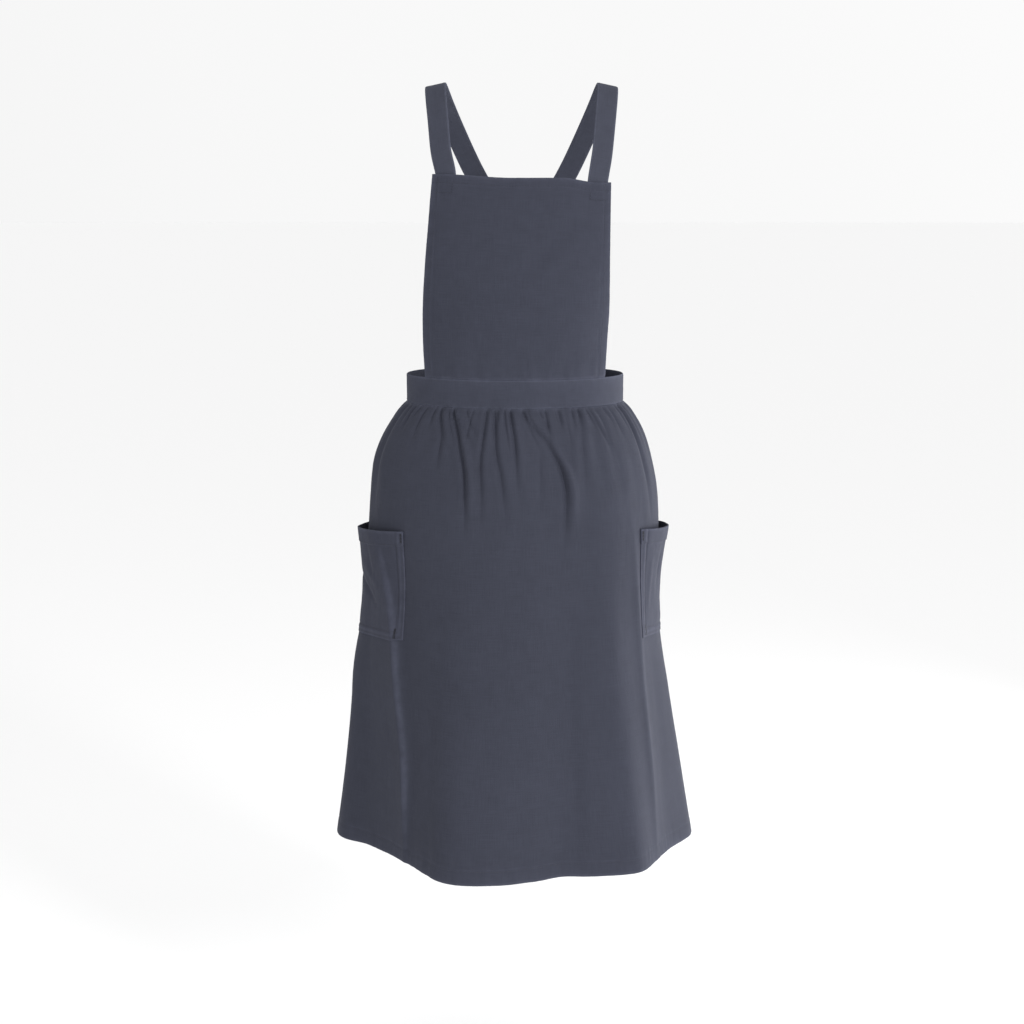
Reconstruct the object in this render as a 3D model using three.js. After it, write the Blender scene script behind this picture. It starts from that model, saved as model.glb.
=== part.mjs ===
// A cross back apron in plain linen cotton, as it hangs when worn: a bib, two straps that cross on the
// back, a waistband, a gathered skirt that wraps round to an open back, and a pocket on each side.
// Millimetres, +Z up, the front faces -Y. The origin lies midway between the two straps where they
// rest on the shoulders, at their underside.
import * as THREE from "three";

// Cloth thicknesses, and the clearances between pieces that are sewn together
const clothWall = 1.3;
const hemWall = 2;
const bandWall = 2.4;
const strapWall = 2;
const seamGap = 0.3;
const pocketClearance = 0.5;

// Heights, from the shoulders down
const bibTopDrop = 124;
const bibHeight = 267;
const bandHeight = 38;
const skirtLength = 636;

// The hips stand a little to one side and forward of the point midway between the straps' tops
const hipShift = -9;
const hipForward = 12;

// Bib
const bibHalfWidth = 125;
const bibCornerDip = 6;
const bustForward = 16;
const chestCurveWidth = 170;
const chestCurveDepth = 77;

// Waistband
const bandHalfWidth = 150;
const bandHalfDepth = 100;
const bandBackGap = 110;

// Skirt
const hemHalfWidth = 254;
const hemFrontDepth = 200;
const hemBackDepth = 175;
const hemBackGap = 100;
const gatherCount = 28;
const gatherDepth = 3.8;
const longFoldDepth = 6;

// Pockets
const pocketWidth = 205;
const pocketHeight = 152;
const pocketDrop = 170;
const pocketMouthDip = 13;
const pocketFrontAngleLeft = 49.5;
const pocketFrontAngleRight = 59;
const pocketMouthGape = 12.5;
const pocketHem = 20;

// Straps
const strapWidth = 28;
const strapInset = 3;
const strapSpread = 117;
const strapTuck = 26;
const strapBandTuck = 30;
const strapBandLead = 14;
const strapBandReach = 76;
const chestDepth = 86;
const backDepth = 100;
const crossingDrop = 235;
const crossingSpan = 84;

// Mesh steps
const columnsPerGather = 6;
const bibColumns = 14;
const bibRows = 10;
const bandColumns = 56;
const strapSteps = 46;
const pocketColumns = 20;
const pocketRows = 7;

// Colours as seen: a matte slate cloth, the gathered skirt a little lighter than the bib
const colours = { bib: 0x464755, band: 0x474a57, skirt: 0x4a4c59, pocket: 0x4b4d5b, strap: 0x4a4c59 };

const bibTop = -bibTopDrop;
const bandTop = bibTop - bibHeight;
const bandBottom = bandTop - bandHeight;
const skirtTop = bandBottom - seamGap;

// How the bib's sides and front run: drop is a share of its height, width of bibHalfWidth, forward of
// bustForward and sway of hipShift
const bibShape = [
  { drop: 0, width: 0.952, forward: -0.62, sway: 0 },
  { drop: 0.21, width: 0.965, forward: 0.38, sway: 0.3 },
  { drop: 0.43, width: 0.985, forward: 1, sway: 0.6 },
  { drop: 0.62, width: 1, forward: 0.8, sway: 0.8 },
  { drop: 0.8, width: 0.995, forward: 0.3, sway: 0.95 },
  { drop: 1, width: 0.98, forward: 0, sway: 1 },
];

// How the skirt widens from the band to the hem: drop is a share of its length, and each other column
// a share of the difference between the hem and the band in that direction
const skirtFlare = [
  { drop: 0, left: 0, right: 0, front: 0, back: 0 },
  { drop: 0.035, left: 0.16, right: 0.15, front: 0.1, back: 0.14 },
  { drop: 0.07, left: 0.29, right: 0.26, front: 0.18, back: 0.25 },
  { drop: 0.12, left: 0.41, right: 0.36, front: 0.25, back: 0.38 },
  { drop: 0.19, left: 0.48, right: 0.46, front: 0.33, back: 0.52 },
  { drop: 0.28, left: 0.53, right: 0.505, front: 0.4, back: 0.66 },
  { drop: 0.4, left: 0.55, right: 0.495, front: 0.475, back: 0.73 },
  { drop: 0.55, left: 0.685, right: 0.565, front: 0.57, back: 0.78 },
  { drop: 0.69, left: 0.745, right: 0.69, front: 0.68, back: 0.84 },
  { drop: 0.83, left: 0.85, right: 0.83, front: 0.82, back: 0.91 },
  { drop: 1, left: 1, right: 1, front: 1, back: 1 },
];

// The big folds of the hem: angle in degrees from the front, to the right, and reach as a share of
// the hem's plain oval there
const hemFolds = [
  { angle: -170, reach: 0.97 },
  { angle: -147, reach: 1.05 },
  { angle: -124, reach: 0.93 },
  { angle: -104, reach: 1.02 },
  { angle: -89, reach: 0.996 },
  { angle: -75, reach: 0.863 },
  { angle: -55, reach: 0.818 },
  { angle: -40, reach: 0.867 },
  { angle: -25, reach: 1.01 },
  { angle: -19, reach: 1.044 },
  { angle: -10, reach: 1.027 },
  { angle: 5, reach: 0.953 },
  { angle: 16, reach: 0.893 },
  { angle: 28, reach: 0.956 },
  { angle: 41, reach: 1.025 },
  { angle: 55, reach: 0.948 },
  { angle: 71, reach: 0.9225 },
  { angle: 101, reach: 1.02 },
  { angle: 124, reach: 0.93 },
  { angle: 147, reach: 1.04 },
  { angle: 170, reach: 0.97 },
];

// How much of those folds shows at each drop, and how deep the gathers are there
const foldGrowth = [
  { drop: 0, folds: 0, gathers: 0.45 },
  { drop: 0.035, folds: 0, gathers: 1 },
  { drop: 0.09, folds: 0.01, gathers: 0.85 },
  { drop: 0.15, folds: 0.05, gathers: 0.5 },
  { drop: 0.21, folds: 0.1, gathers: 0.18 },
  { drop: 0.27, folds: 0.16, gathers: 0 },
  { drop: 0.55, folds: 0.48, gathers: 0 },
  { drop: 1, folds: 1, gathers: 0 },
];

// The longer folds that run down from the band: head and foot in degrees from the front, foot's drop
// as a share of the skirt's length, width as a share of bandHalfWidth and depth of longFoldDepth
const longFolds = [
  { head: -38, foot: -29, reach: 0.3, width: 0.06, depth: -0.8 },
  { head: -33, foot: -20, reach: 0.34, width: 0.06, depth: 0.8 },
  { head: -17, foot: -13, reach: 0.3, width: 0.05, depth: -0.7 },
  { head: -3, foot: -3, reach: 0.28, width: 0.05, depth: 0.6 },
  { head: 9, foot: 20, reach: 0.42, width: 0.07, depth: -1 },
  { head: 14, foot: 26, reach: 0.4, width: 0.07, depth: 0.8 },
  { head: 38, foot: 30, reach: 0.3, width: 0.06, depth: -0.6 },
];

// Where each strap runs once it leaves the bib: side is a share of strapSpread away from the middle,
// depth a share of chestDepth (minus) or backDepth (plus), drop of crossingDrop, and roll in degrees
const strapRun = [
  { side: 0.92, depth: -0.86, drop: 0.38, roll: 17 },
  { side: 0.955, depth: -0.665, drop: 0.215, roll: 15 },
  { side: 0.985, depth: -0.4, drop: 0.09, roll: 13 },
  { side: 1, depth: -0.165, drop: 0.018, roll: 12 },
  { side: 1, depth: 0, drop: 0, roll: 12 },
  { side: 0.985, depth: 0.2, drop: 0.016, roll: 12 },
  { side: 0.92, depth: 0.5, drop: 0.105, roll: 10 },
  { side: 0.79, depth: 0.76, drop: 0.26, roll: 6 },
  { side: 0.585, depth: 0.92, drop: 0.48, roll: 3 },
  { side: 0.3, depth: 0.985, drop: 0.73, roll: 0 },
  { side: 0, depth: 1, drop: 1, roll: 0 },
  { side: -0.27, depth: 0.98, drop: 1.26, roll: -3 },
  { side: -0.48, depth: 0.88, drop: 1.45, roll: -8 },
];

// How uneven the gathers are in pitch, depth and reach: each row adds a slow wave round the wrap
const gatherWaves = [
  { of: "pitch", turns: 9.1, start: 0.7, amount: 0.5 },
  { of: "pitch", turns: 21.7, start: 0, amount: 0.35 },
  { of: "depth", turns: 13.3, start: 2, amount: 0.25 },
  { of: "reach", turns: 29.9, start: 1, amount: 0.16 },
];

// Where the bib's top edge dips to its lower corner, as shares of its half width
const bibDip = { from: 0.45, to: 0.85 };

// How the pockets' mouths gape: how round they are across and how fast they close downwards
const mouthShape = { roundness: 0.8, closing: 1.7 };

// Row positions down the skirt, closer together where the gathers are
const skirtRows = [0, 0.018, 0.045, 0.085, 0.135, 0.2, 0.28, 0.38, 0.5, 0.64, 0.82, 1];

const degrees = Math.PI / 180;
const sampleStep = 1e-3;
const arcSamples = 720;

// Reads one column of a table at a place between its rows, along a smooth curve
function readTable(rows, key, column, place) {
  const last = rows.length - 1;
  const at = THREE.MathUtils.clamp(place, rows[0][key], rows[last][key]);
  let row = 0;
  while (row < last - 1 && rows[row + 1][key] < at) {
    row += 1;
  }
  const slope = (index) => {
    const before = rows[Math.max(index - 1, 0)];
    const after = rows[Math.min(index + 1, last)];
    return (after[column] - before[column]) / (after[key] - before[key]);
  };
  const span = rows[row + 1][key] - rows[row][key];
  const t = (at - rows[row][key]) / span;
  const ease = t * t * (3 - 2 * t);
  const bend = slope(row) * t * (1 - t) ** 2 - slope(row + 1) * t * t * (1 - t);
  return rows[row][column] * (1 - ease) + rows[row + 1][column] * ease + bend * span;
}

// A closed wall over a grid of places: middle(i, j) gives its middle surface, wall(i, j) its thickness
// and normal(i, j) its outward direction
function closedWall(columns, rows, middle, wall, normal) {
  const positions = [];
  for (const side of [0.5, -0.5]) {
    for (let j = 0; j <= rows; j += 1) {
      for (let i = 0; i <= columns; i += 1) {
        const place = middle(i, j).addScaledVector(normal(i, j), wall(i, j) * side);
        positions.push(place.x, place.y, place.z);
      }
    }
  }
  const layer = (columns + 1) * (rows + 1);
  const at = (i, j, inner) => j * (columns + 1) + i + (inner ? layer : 0);
  const triangles = [];
  const quad = (a, b, c, d) => triangles.push(a, b, c, a, c, d);
  for (let j = 0; j < rows; j += 1) {
    for (let i = 0; i < columns; i += 1) {
      quad(at(i, j), at(i, j + 1), at(i + 1, j + 1), at(i + 1, j));
      quad(at(i, j, true), at(i + 1, j, true), at(i + 1, j + 1, true), at(i, j + 1, true));
    }
  }
  for (let i = 0; i < columns; i += 1) {
    quad(at(i, 0), at(i + 1, 0), at(i + 1, 0, true), at(i, 0, true));
    quad(at(i + 1, rows), at(i, rows), at(i, rows, true), at(i + 1, rows, true));
  }
  for (let j = 0; j < rows; j += 1) {
    quad(at(0, j + 1), at(0, j), at(0, j, true), at(0, j + 1, true));
    quad(at(columns, j), at(columns, j + 1), at(columns, j + 1, true), at(columns, j, true));
  }
  const geometry = new THREE.BufferGeometry();
  geometry.setAttribute("position", new THREE.Float32BufferAttribute(positions, 3));
  geometry.setIndex(triangles);
  geometry.computeVertexNormals();
  return geometry;
}

// The outward direction of a surface, from two of its tangents: across runs to the right as seen from
// outside, and down runs to the hem
function outwardOf(surface, across, down) {
  const here = surface(across, down);
  const right = surface(across + sampleStep, down).sub(here);
  const below = surface(across, down + sampleStep).sub(here);
  return below.cross(right).normalize();
}

// The same direction turned level, for edges that meet the waistband or hang level
function levelOutwardOf(surface, across, down) {
  return outwardOf(surface, across, down).setZ(0).normalize();
}

// Where the waistband's ends lie, in degrees from the front, for a half width and the gap between them
function edgeAngle(halfWidth, gap) {
  return 180 - Math.asin(gap / 2 / halfWidth) / degrees;
}

// Running lengths round the band's oval, so that gathers keep an equal pitch
const bandEdge = edgeAngle(bandHalfWidth, bandBackGap);
const bandArc = [0];
for (let i = 0; i < arcSamples; i += 1) {
  const angle = ((i + 0.5) / arcSamples) * bandEdge * degrees;
  const step = (bandEdge * degrees) / arcSamples;
  const pace = Math.hypot(bandHalfWidth * Math.cos(angle), bandHalfDepth * Math.sin(angle));
  bandArc.push(bandArc[i] + pace * step);
}

// The angle, in degrees, at a share of the way from the front to the band's end
function angleAtShare(share) {
  const wanted = Math.abs(share) * bandArc[arcSamples];
  let i = 0;
  while (i < arcSamples - 1 && bandArc[i + 1] < wanted) {
    i += 1;
  }
  const part = (wanted - bandArc[i]) / (bandArc[i + 1] - bandArc[i]);
  return (Math.sign(share) * (i + part) * bandEdge) / arcSamples;
}

// The waistband's middle surface: share runs from -1 at one end to 1 at the other, drop from 0 to 1
function bandSurface(share, drop) {
  const angle = angleAtShare(share) * degrees;
  const x = hipShift + bandHalfWidth * Math.sin(angle);
  const y = -hipForward - bandHalfDepth * Math.cos(angle);
  return new THREE.Vector3(x, y, bandTop - bandHeight * drop);
}

// The skirt's oval with its big folds, at an angle in degrees and a drop from 0 to 1
function skirtOval(angle, drop) {
  const side = angle < 0 ? "left" : "right";
  const face = Math.abs(angle) < 90 ? "front" : "back";
  const hemDepth = face === "front" ? hemFrontDepth : hemBackDepth;
  const wide = THREE.MathUtils.lerp(bandHalfWidth, hemHalfWidth, readTable(skirtFlare, "drop", side, drop));
  const deep = THREE.MathUtils.lerp(bandHalfDepth, hemDepth, readTable(skirtFlare, "drop", face, drop));
  const growth = readTable(foldGrowth, "drop", "folds", drop);
  const fold = 1 + (readTable(hemFolds, "angle", "reach", angle) - 1) * growth;
  const x = hipShift + wide * fold * Math.sin(angle * degrees);
  const y = -hipForward - deep * fold * Math.cos(angle * degrees);
  return new THREE.Vector3(x, y, skirtTop - skirtLength * drop);
}

// The skirt's plain form: it runs straight between its rows, so that what lies on it follows it
function skirtForm(angle, drop) {
  let row = 0;
  while (row < skirtRows.length - 2 && skirtRows[row + 1] < drop) {
    row += 1;
  }
  const part = (drop - skirtRows[row]) / (skirtRows[row + 1] - skirtRows[row]);
  return skirtOval(angle, skirtRows[row]).lerp(skirtOval(angle, skirtRows[row + 1]), part);
}

// How far the gathers differ from even ones in pitch, depth or reach, at a share of the way round
function gatherWave(of, share) {
  let sum = 0;
  for (const wave of gatherWaves) {
    sum += wave.of === of ? wave.amount * Math.sin(wave.turns * share + wave.start) : 0;
  }
  return sum;
}

// How far the gathers stand out from that form, at a share of the way round
function gatherOffset(share, drop) {
  const phase = Math.PI * gatherCount * share + gatherWave("pitch", share);
  const depth = gatherDepth * (1 + gatherWave("depth", share));
  const fade = readTable(foldGrowth, "drop", "gathers", drop * (1 + gatherWave("reach", share)));
  return depth * fade * Math.cos(phase);
}

// How far the longer folds stand out or in, at an angle and a drop
function longFoldOffset(angle, drop) {
  let offset = 0;
  for (const fold of longFolds) {
    const along = drop / fold.reach;
    if (along < 1) {
      const line = THREE.MathUtils.lerp(fold.head, fold.foot, along);
      const away = ((angle - line) * degrees) / fold.width;
      const fade = Math.sin(Math.PI * Math.sqrt(along));
      offset += longFoldDepth * fold.depth * fade * Math.exp(-away * away);
    }
  }
  return offset;
}

// The skirt's middle surface: share from -1 to 1 round the wrap, drop from 0 at the band to 1 at the hem
function skirtSurface(share, drop) {
  const hemEdge = edgeAngle(hemHalfWidth, hemBackGap);
  const angle = (angleAtShare(share) * THREE.MathUtils.lerp(bandEdge, hemEdge, drop)) / bandEdge;
  const place = skirtForm(angle, drop);
  const outward = levelOutwardOf(skirtForm, angle, drop);
  return place.addScaledVector(outward, gatherOffset(share, drop) + longFoldOffset(angle, drop));
}

// The bib's middle surface: share from -1 to 1 across, drop from 0 at its top edge to 1 at the band
function bibSurface(share, drop) {
  const halfWidth = bibHalfWidth * readTable(bibShape, "drop", "width", drop);
  const middle = hipShift * readTable(bibShape, "drop", "sway", drop);
  const front = -(hipForward + bandHalfDepth) - bustForward * readTable(bibShape, "drop", "forward", drop);
  const curveWidth = THREE.MathUtils.lerp(chestCurveWidth, bandHalfWidth, drop);
  const curveDepth = THREE.MathUtils.lerp(chestCurveDepth, bandHalfDepth, drop);
  const across = halfWidth * share;
  const y = front + curveDepth * (1 - Math.sqrt(1 - (across / curveWidth) ** 2));
  const top = bibTop - bibCornerDip * THREE.MathUtils.smoothstep(share, bibDip.from, bibDip.to);
  return new THREE.Vector3(middle + across, y, THREE.MathUtils.lerp(top, bandTop + seamGap, drop));
}

// The angle at which a run of a given length round one side of the skirt's form ends
function angleAfter(start, sign, length, drop) {
  let angle = start;
  let run = 0;
  let here = skirtForm(sign * angle, drop);
  while (run < length && angle < bandEdge) {
    angle += 0.25;
    const next = skirtForm(sign * angle, drop);
    run += next.distanceTo(here);
    here = next;
  }
  return angle;
}

// A pocket's middle surface: across from 0 at its front edge to 1 at its back edge, down from 0 at its
// mouth to 1 at its foot. It follows the skirt and stands off it at the mouth.
function pocketSurface(sign, across, down) {
  const middleDrop = (pocketDrop + pocketHeight / 2) / skirtLength;
  const frontAngle = sign < 0 ? pocketFrontAngleLeft : pocketFrontAngleRight;
  const backAngle = angleAfter(frontAngle, sign, pocketWidth, middleDrop);
  const angle = sign * THREE.MathUtils.lerp(frontAngle, backAngle, across);
  const mouthDrop = pocketDrop + pocketMouthDip * Math.sin((Math.PI / 2) * across);
  const drop = (mouthDrop + pocketHeight * down) / skirtLength;
  const opening = Math.sin(Math.PI * across) ** mouthShape.roundness * (1 - down) ** mouthShape.closing;
  const gape = pocketMouthGape * opening;
  const offset = clothWall / 2 + pocketClearance + pocketWall(down) / 2 + gape;
  return skirtForm(angle, drop).addScaledVector(outwardOf(skirtForm, angle, drop), offset);
}

// A pocket's thickness: its mouth is hemmed
function pocketWall(down) {
  return down * pocketHeight < pocketHem ? hemWall : clothWall;
}

function makeBib() {
  const share = (i) => (2 * i) / bibColumns - 1;
  const drop = (j) => j / bibRows;
  const edge = (i, j) => i === 0 || i === bibColumns || j === 0;
  return closedWall(
    bibColumns,
    bibRows,
    (i, j) => bibSurface(share(i), drop(j)),
    (i, j) => (edge(i, j) ? hemWall : clothWall),
    (i, j) => {
      const facing = j === bibRows ? levelOutwardOf : outwardOf;
      return facing(bibSurface, Math.min(share(i), 1 - sampleStep), Math.min(drop(j), 1 - sampleStep));
    },
  );
}

function makeWaistband() {
  const share = (i) => (2 * i) / bandColumns - 1;
  return closedWall(
    bandColumns,
    1,
    (i, j) => bandSurface(share(i), j),
    () => bandWall,
    (i) => outwardOf(bandSurface, Math.min(share(i), 1 - sampleStep), 0),
  );
}

function makeSkirt() {
  const columns = gatherCount * columnsPerGather;
  const share = (i) => (2 * i) / columns - 1;
  const lastRow = skirtRows.length - 1;
  return closedWall(
    columns,
    lastRow,
    (i, j) => skirtSurface(share(i), skirtRows[j]),
    (i, j) => (j === lastRow ? hemWall : clothWall),
    (i, j) => {
      const facing = j === 0 || j === lastRow ? levelOutwardOf : outwardOf;
      return facing(skirtSurface, Math.min(share(i), 1 - sampleStep), Math.min(skirtRows[j], 1 - sampleStep));
    },
  );
}

function makePocket(sign) {
  const surface = (across, down) => pocketSurface(sign, sign > 0 ? across : 1 - across, down);
  return closedWall(
    pocketColumns,
    pocketRows,
    (i, j) => surface(i / pocketColumns, j / pocketRows),
    (i, j) => pocketWall(j / pocketRows),
    (i, j) => outwardOf(
      surface,
      THREE.MathUtils.clamp(i / pocketColumns, sampleStep, 1 - 2 * sampleStep),
      Math.min(j / pocketRows, 1 - sampleStep),
    ),
  );
}

// A strap of the given side, from its end inside the bib over the shoulder and across the back to its
// end inside the waistband. lift holds it clear of the other strap where they cross.
function makeStrap(sign, lift) {
  const stops = [];
  const flatness = strapWidth ** 2 / (8 * bandHalfWidth);
  const seat = (surface, share, drop, wall) => {
    const outward = outwardOf(surface, share, drop);
    const depth = wall / 2 + seamGap + flatness + strapWall / 2;
    stops.push({ place: surface(share, drop).addScaledVector(outward, -depth), outward });
  };
  const bibShare = 1 - (strapInset + strapWidth / 2) / (bibHalfWidth * bibShape[0].width);
  for (const tuck of [strapTuck, strapTuck / 2, 0]) {
    seat(bibSurface, sign * bibShare, tuck / bibHeight, hemWall);
  }
  for (const row of strapRun) {
    const depth = row.depth < 0 ? chestDepth * row.depth : backDepth * row.depth;
    const place = new THREE.Vector3(sign * strapSpread * row.side, depth, -crossingDrop * row.drop);
    const away = Math.abs(row.drop - 1) * crossingDrop;
    const beside = THREE.MathUtils.smoothstep(away, crossingSpan / 2, crossingSpan);
    place.y += row.depth > 0 ? lift * (1 - beside) : 0;
    place.z += strapWall / 2;
    stops.push({ place, roll: sign * row.roll });
  }
  const bandShare = bandShareAt(strapBandReach);
  for (const tuck of [-strapBandLead, strapBandTuck / 2, strapBandTuck]) {
    seat(bandSurface, -sign * bandShare, tuck / bandHeight, bandWall);
  }
  return ribbon(stops);
}

// The share of the way round the band at which it lies a given distance from its middle, on the back
function bandShareAt(distance) {
  let share = 1;
  while (Math.abs(bandSurface(share, 0).x - hipShift) < distance && share > 0.5) {
    share -= 0.002;
  }
  return share;
}

// A flat strip along a smooth line through the stops, as wide as a strap. Each stop gives the way it
// faces, or its roll in degrees about the line from lying level across it.
function ribbon(stops) {
  const line = new THREE.CatmullRomCurve3(stops.map((stop) => stop.place), false, "centripetal");
  const last = stops.length - 1;
  const facings = stops.map((stop, index) => {
    const tangent = line.getTangent(index / last);
    const level = new THREE.Vector3(1, 0, 0).cross(tangent);
    return stop.outward ?? level.normalize().applyAxisAngle(tangent, stop.roll * degrees);
  });
  const frames = [];
  for (let j = 0; j <= strapSteps; j += 1) {
    const t = line.getUtoTmapping(j / strapSteps);
    const tangent = line.getTangent(t);
    const from = Math.min(Math.floor(t * last), last - 1);
    const facing = facings[from].clone().lerp(facings[from + 1], t * last - from);
    const across = new THREE.Vector3().crossVectors(tangent, facing).normalize();
    const outward = new THREE.Vector3().crossVectors(across, tangent).normalize();
    frames.push({ place: line.getPoint(t), across, outward });
  }
  return closedWall(
    1,
    strapSteps,
    (i, j) => frames[j].place.clone().addScaledVector(frames[j].across, (0.5 - i) * strapWidth),
    () => strapWall,
    (i, j) => frames[j].outward,
  );
}

function namedMesh(name, geometry, colour) {
  const material = new THREE.MeshStandardMaterial({ color: colour, roughness: 0.92, metalness: 0 });
  const mesh = new THREE.Mesh(geometry, material);
  mesh.name = name;
  return mesh;
}

const apron = new THREE.Group();
apron.name = "apron";
apron.add(namedMesh("bib", makeBib(), colours.bib));
apron.add(namedMesh("waistband", makeWaistband(), colours.band));
apron.add(namedMesh("skirt", makeSkirt(), colours.skirt));
apron.add(namedMesh("pocket_left", makePocket(-1), colours.pocket));
apron.add(namedMesh("pocket_right", makePocket(1), colours.pocket));
apron.add(namedMesh("strap_left", makeStrap(-1, strapWall + seamGap), colours.strap));
apron.add(namedMesh("strap_right", makeStrap(1, 0), colours.strap));

export default apron;
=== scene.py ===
import bpy
import math
import numpy as np
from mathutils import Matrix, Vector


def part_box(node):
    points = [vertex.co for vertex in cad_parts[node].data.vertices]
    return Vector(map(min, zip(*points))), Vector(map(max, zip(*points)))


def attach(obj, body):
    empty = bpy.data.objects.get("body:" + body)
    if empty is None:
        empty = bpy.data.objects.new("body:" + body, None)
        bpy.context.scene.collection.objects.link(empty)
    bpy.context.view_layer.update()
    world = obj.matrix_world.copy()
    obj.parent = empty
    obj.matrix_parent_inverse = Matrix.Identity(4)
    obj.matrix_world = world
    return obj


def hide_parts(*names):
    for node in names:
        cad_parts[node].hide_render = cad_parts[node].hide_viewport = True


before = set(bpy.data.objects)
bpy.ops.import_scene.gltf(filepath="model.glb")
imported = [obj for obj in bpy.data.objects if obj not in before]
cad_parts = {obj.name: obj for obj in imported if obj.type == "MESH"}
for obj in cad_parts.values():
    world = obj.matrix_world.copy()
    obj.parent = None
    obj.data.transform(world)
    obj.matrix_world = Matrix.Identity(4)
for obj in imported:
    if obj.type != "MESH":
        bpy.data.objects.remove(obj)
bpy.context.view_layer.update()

# Sizes here are millimetres, as a pattern cutter writes them, and become metres when a mesh is made
mm = 0.001
deg = math.pi / 180


def nodeBox(name):
    low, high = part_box(name)
    return np.array(low) / mm, np.array(high) / mm


bandLow, bandHigh = nodeBox("waistband")
skirtLow, skirtHigh = nodeBox("skirt")
bibLow, bibHigh = nodeBox("bib")

cloth = {
    "wall": 1.0,          # one layer of the linen cotton
    "hemWall": 1.9,       # where it is turned in
    "seamGap": 0.35,      # room between pieces that are sewn together
    "hipShift": -9.0,     # the hips stand a little to one side
    "hipForward": 12.0,
    "rimReach": 0.32,     # how far a rounded edge stands out, as a share of its wall
    "edgeRimWearAndLight": {"share": 0.75, "reach": 2.4},     # edges go paler, as wear and as a painted highlight where a rim would catch the light, most within a few millimetres
    "edgeFade": {"share": 0.25, "reach": 12.0},
}


# Small helpers for curves and noise

def lineCurve(keys, values, place):
    keys, values = np.array(keys, float), np.array(values, float)
    slopes = np.empty_like(values)
    slopes[1:-1] = (values[2:] - values[:-2]) / (keys[2:] - keys[:-2])
    slopes[0] = (values[1] - values[0]) / (keys[1] - keys[0])
    slopes[-1] = (values[-1] - values[-2]) / (keys[-1] - keys[-2])
    at = np.clip(place, keys[0], keys[-1])
    row = np.clip(np.searchsorted(keys, at, side="right") - 1, 0, len(keys) - 2)
    span = keys[row + 1] - keys[row]
    t = (at - keys[row]) / span
    ease = t * t * (3 - 2 * t)
    bend = slopes[row] * t * (1 - t) ** 2 - slopes[row + 1] * t * t * (1 - t)
    return values[row] * (1 - ease) + values[row + 1] * ease + bend * span


def table(columns, *rows):
    return [dict(zip(columns.split(), row)) for row in rows]


def tableCurve(rows, key, column, place):
    return lineCurve([row[key] for row in rows], [row[column] for row in rows], place)


def smoothStep(value, low, high):
    t = np.clip((value - low) / (high - low), 0, 1)
    return t * t * (3 - 2 * t)


noiseLattice = np.random.default_rng(41).uniform(-1, 1, (97, 89))
noiseLayers = table(
    "turn gain shift",
    (0.35, 0.62, 3.1), (1.27, 0.55, 17.7),
)
noiseStep = {"a": 7.31, "b": 3.17, "shift": 2.3}


def softNoise(u, v, seed=0):
    # smooth value noise, two turned layers so that no grid shows
    total = 0
    for layer in noiseLayers:
        c, s = math.cos(layer["turn"]), math.sin(layer["turn"])
        a = u * c - v * s + layer["shift"] + seed * noiseStep["a"]
        b = u * s + v * c + layer["shift"] * noiseStep["shift"] + seed * noiseStep["b"]
        ia = np.floor(a).astype(int)
        ib = np.floor(b).astype(int)
        fa = a - ia
        fb = b - ib
        fa = fa ** 3 * (fa * (fa * 6 - 15) + 10)
        fb = fb ** 3 * (fb * (fb * 6 - 15) + 10)
        height, width = noiseLattice.shape
        corner = [noiseLattice[(ia + i) % height, (ib + j) % width] for i in (0, 1) for j in (0, 1)]
        low = corner[0] * (1 - fb) + corner[1] * fb
        high = corner[2] * (1 - fb) + corner[3] * fb
        total = total + layer["gain"] * (low * (1 - fa) + high * fa)
    return total


def unit(vectors):
    return vectors / np.maximum(np.linalg.norm(vectors, axis=-1, keepdims=True), 1e-9)


def gridNormals(places):
    # rows run down and columns to the right, as seen from outside
    down = np.gradient(places, axis=0)
    right = np.gradient(places, axis=1)
    return unit(np.cross(down, right))


# Mesh making

def makeObject(name, vertices, faces, uvs=None, wearAndHighlight=None):
    mesh = bpy.data.meshes.new(name)
    mesh.from_pydata((vertices * mm).tolist(), [], faces)
    if uvs is not None:
        layer = mesh.uv_layers.new(name="clothMap")
        corners = np.empty(len(mesh.loops), dtype=np.int32)
        mesh.loops.foreach_get("vertex_index", corners)
        layer.data.foreach_set("uv", (uvs[corners] * mm).astype(np.float32).ravel())
    if wearAndHighlight is not None:
        worn = mesh.attributes.new("wearAndHighlight", "FLOAT", "POINT")
        worn.data.foreach_set("value", wearAndHighlight.astype(np.float32))
    mesh.update()
    made = bpy.data.objects.new(name, mesh)
    bpy.context.scene.collection.objects.link(made)
    mesh.polygons.foreach_set("use_smooth", np.ones(len(mesh.polygons), dtype=bool))
    return made


def edgeWearAndHighlight(places):
    # 1 at the edges of a sheet, fading out inwards: paleness for wear and a painted highlight along the rims
    def fromEnds(axis):
        steps = np.linalg.norm(np.diff(places, axis=axis), axis=-1)
        run = np.cumsum(steps, axis=axis)
        run = np.insert(run, 0, 0, axis=axis)
        total = np.take(run, [-1], axis=axis)
        return np.minimum(run, total - run)
    gap = np.minimum(fromEnds(0), fromEnds(1))
    rimWearAndLight, fade = cloth["edgeRimWearAndLight"], cloth["edgeFade"]
    return rimWearAndLight["share"] * np.exp(-(gap / rimWearAndLight["reach"]) ** 2) + fade["share"] * np.exp(-gap / fade["reach"])


def hemmed(places, normals, turned):
    # a turned hem thickens the wall on the inside only
    extra = (cloth["hemWall"] - cloth["wall"]) * turned
    return places - normals * (extra / 2)[..., None], cloth["wall"] + extra


def levelEnd(normals, row):
    # an end that is sewn to the band faces straight out
    normals[row, :, 2] = 0
    normals[row] = unit(normals[row])


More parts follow.
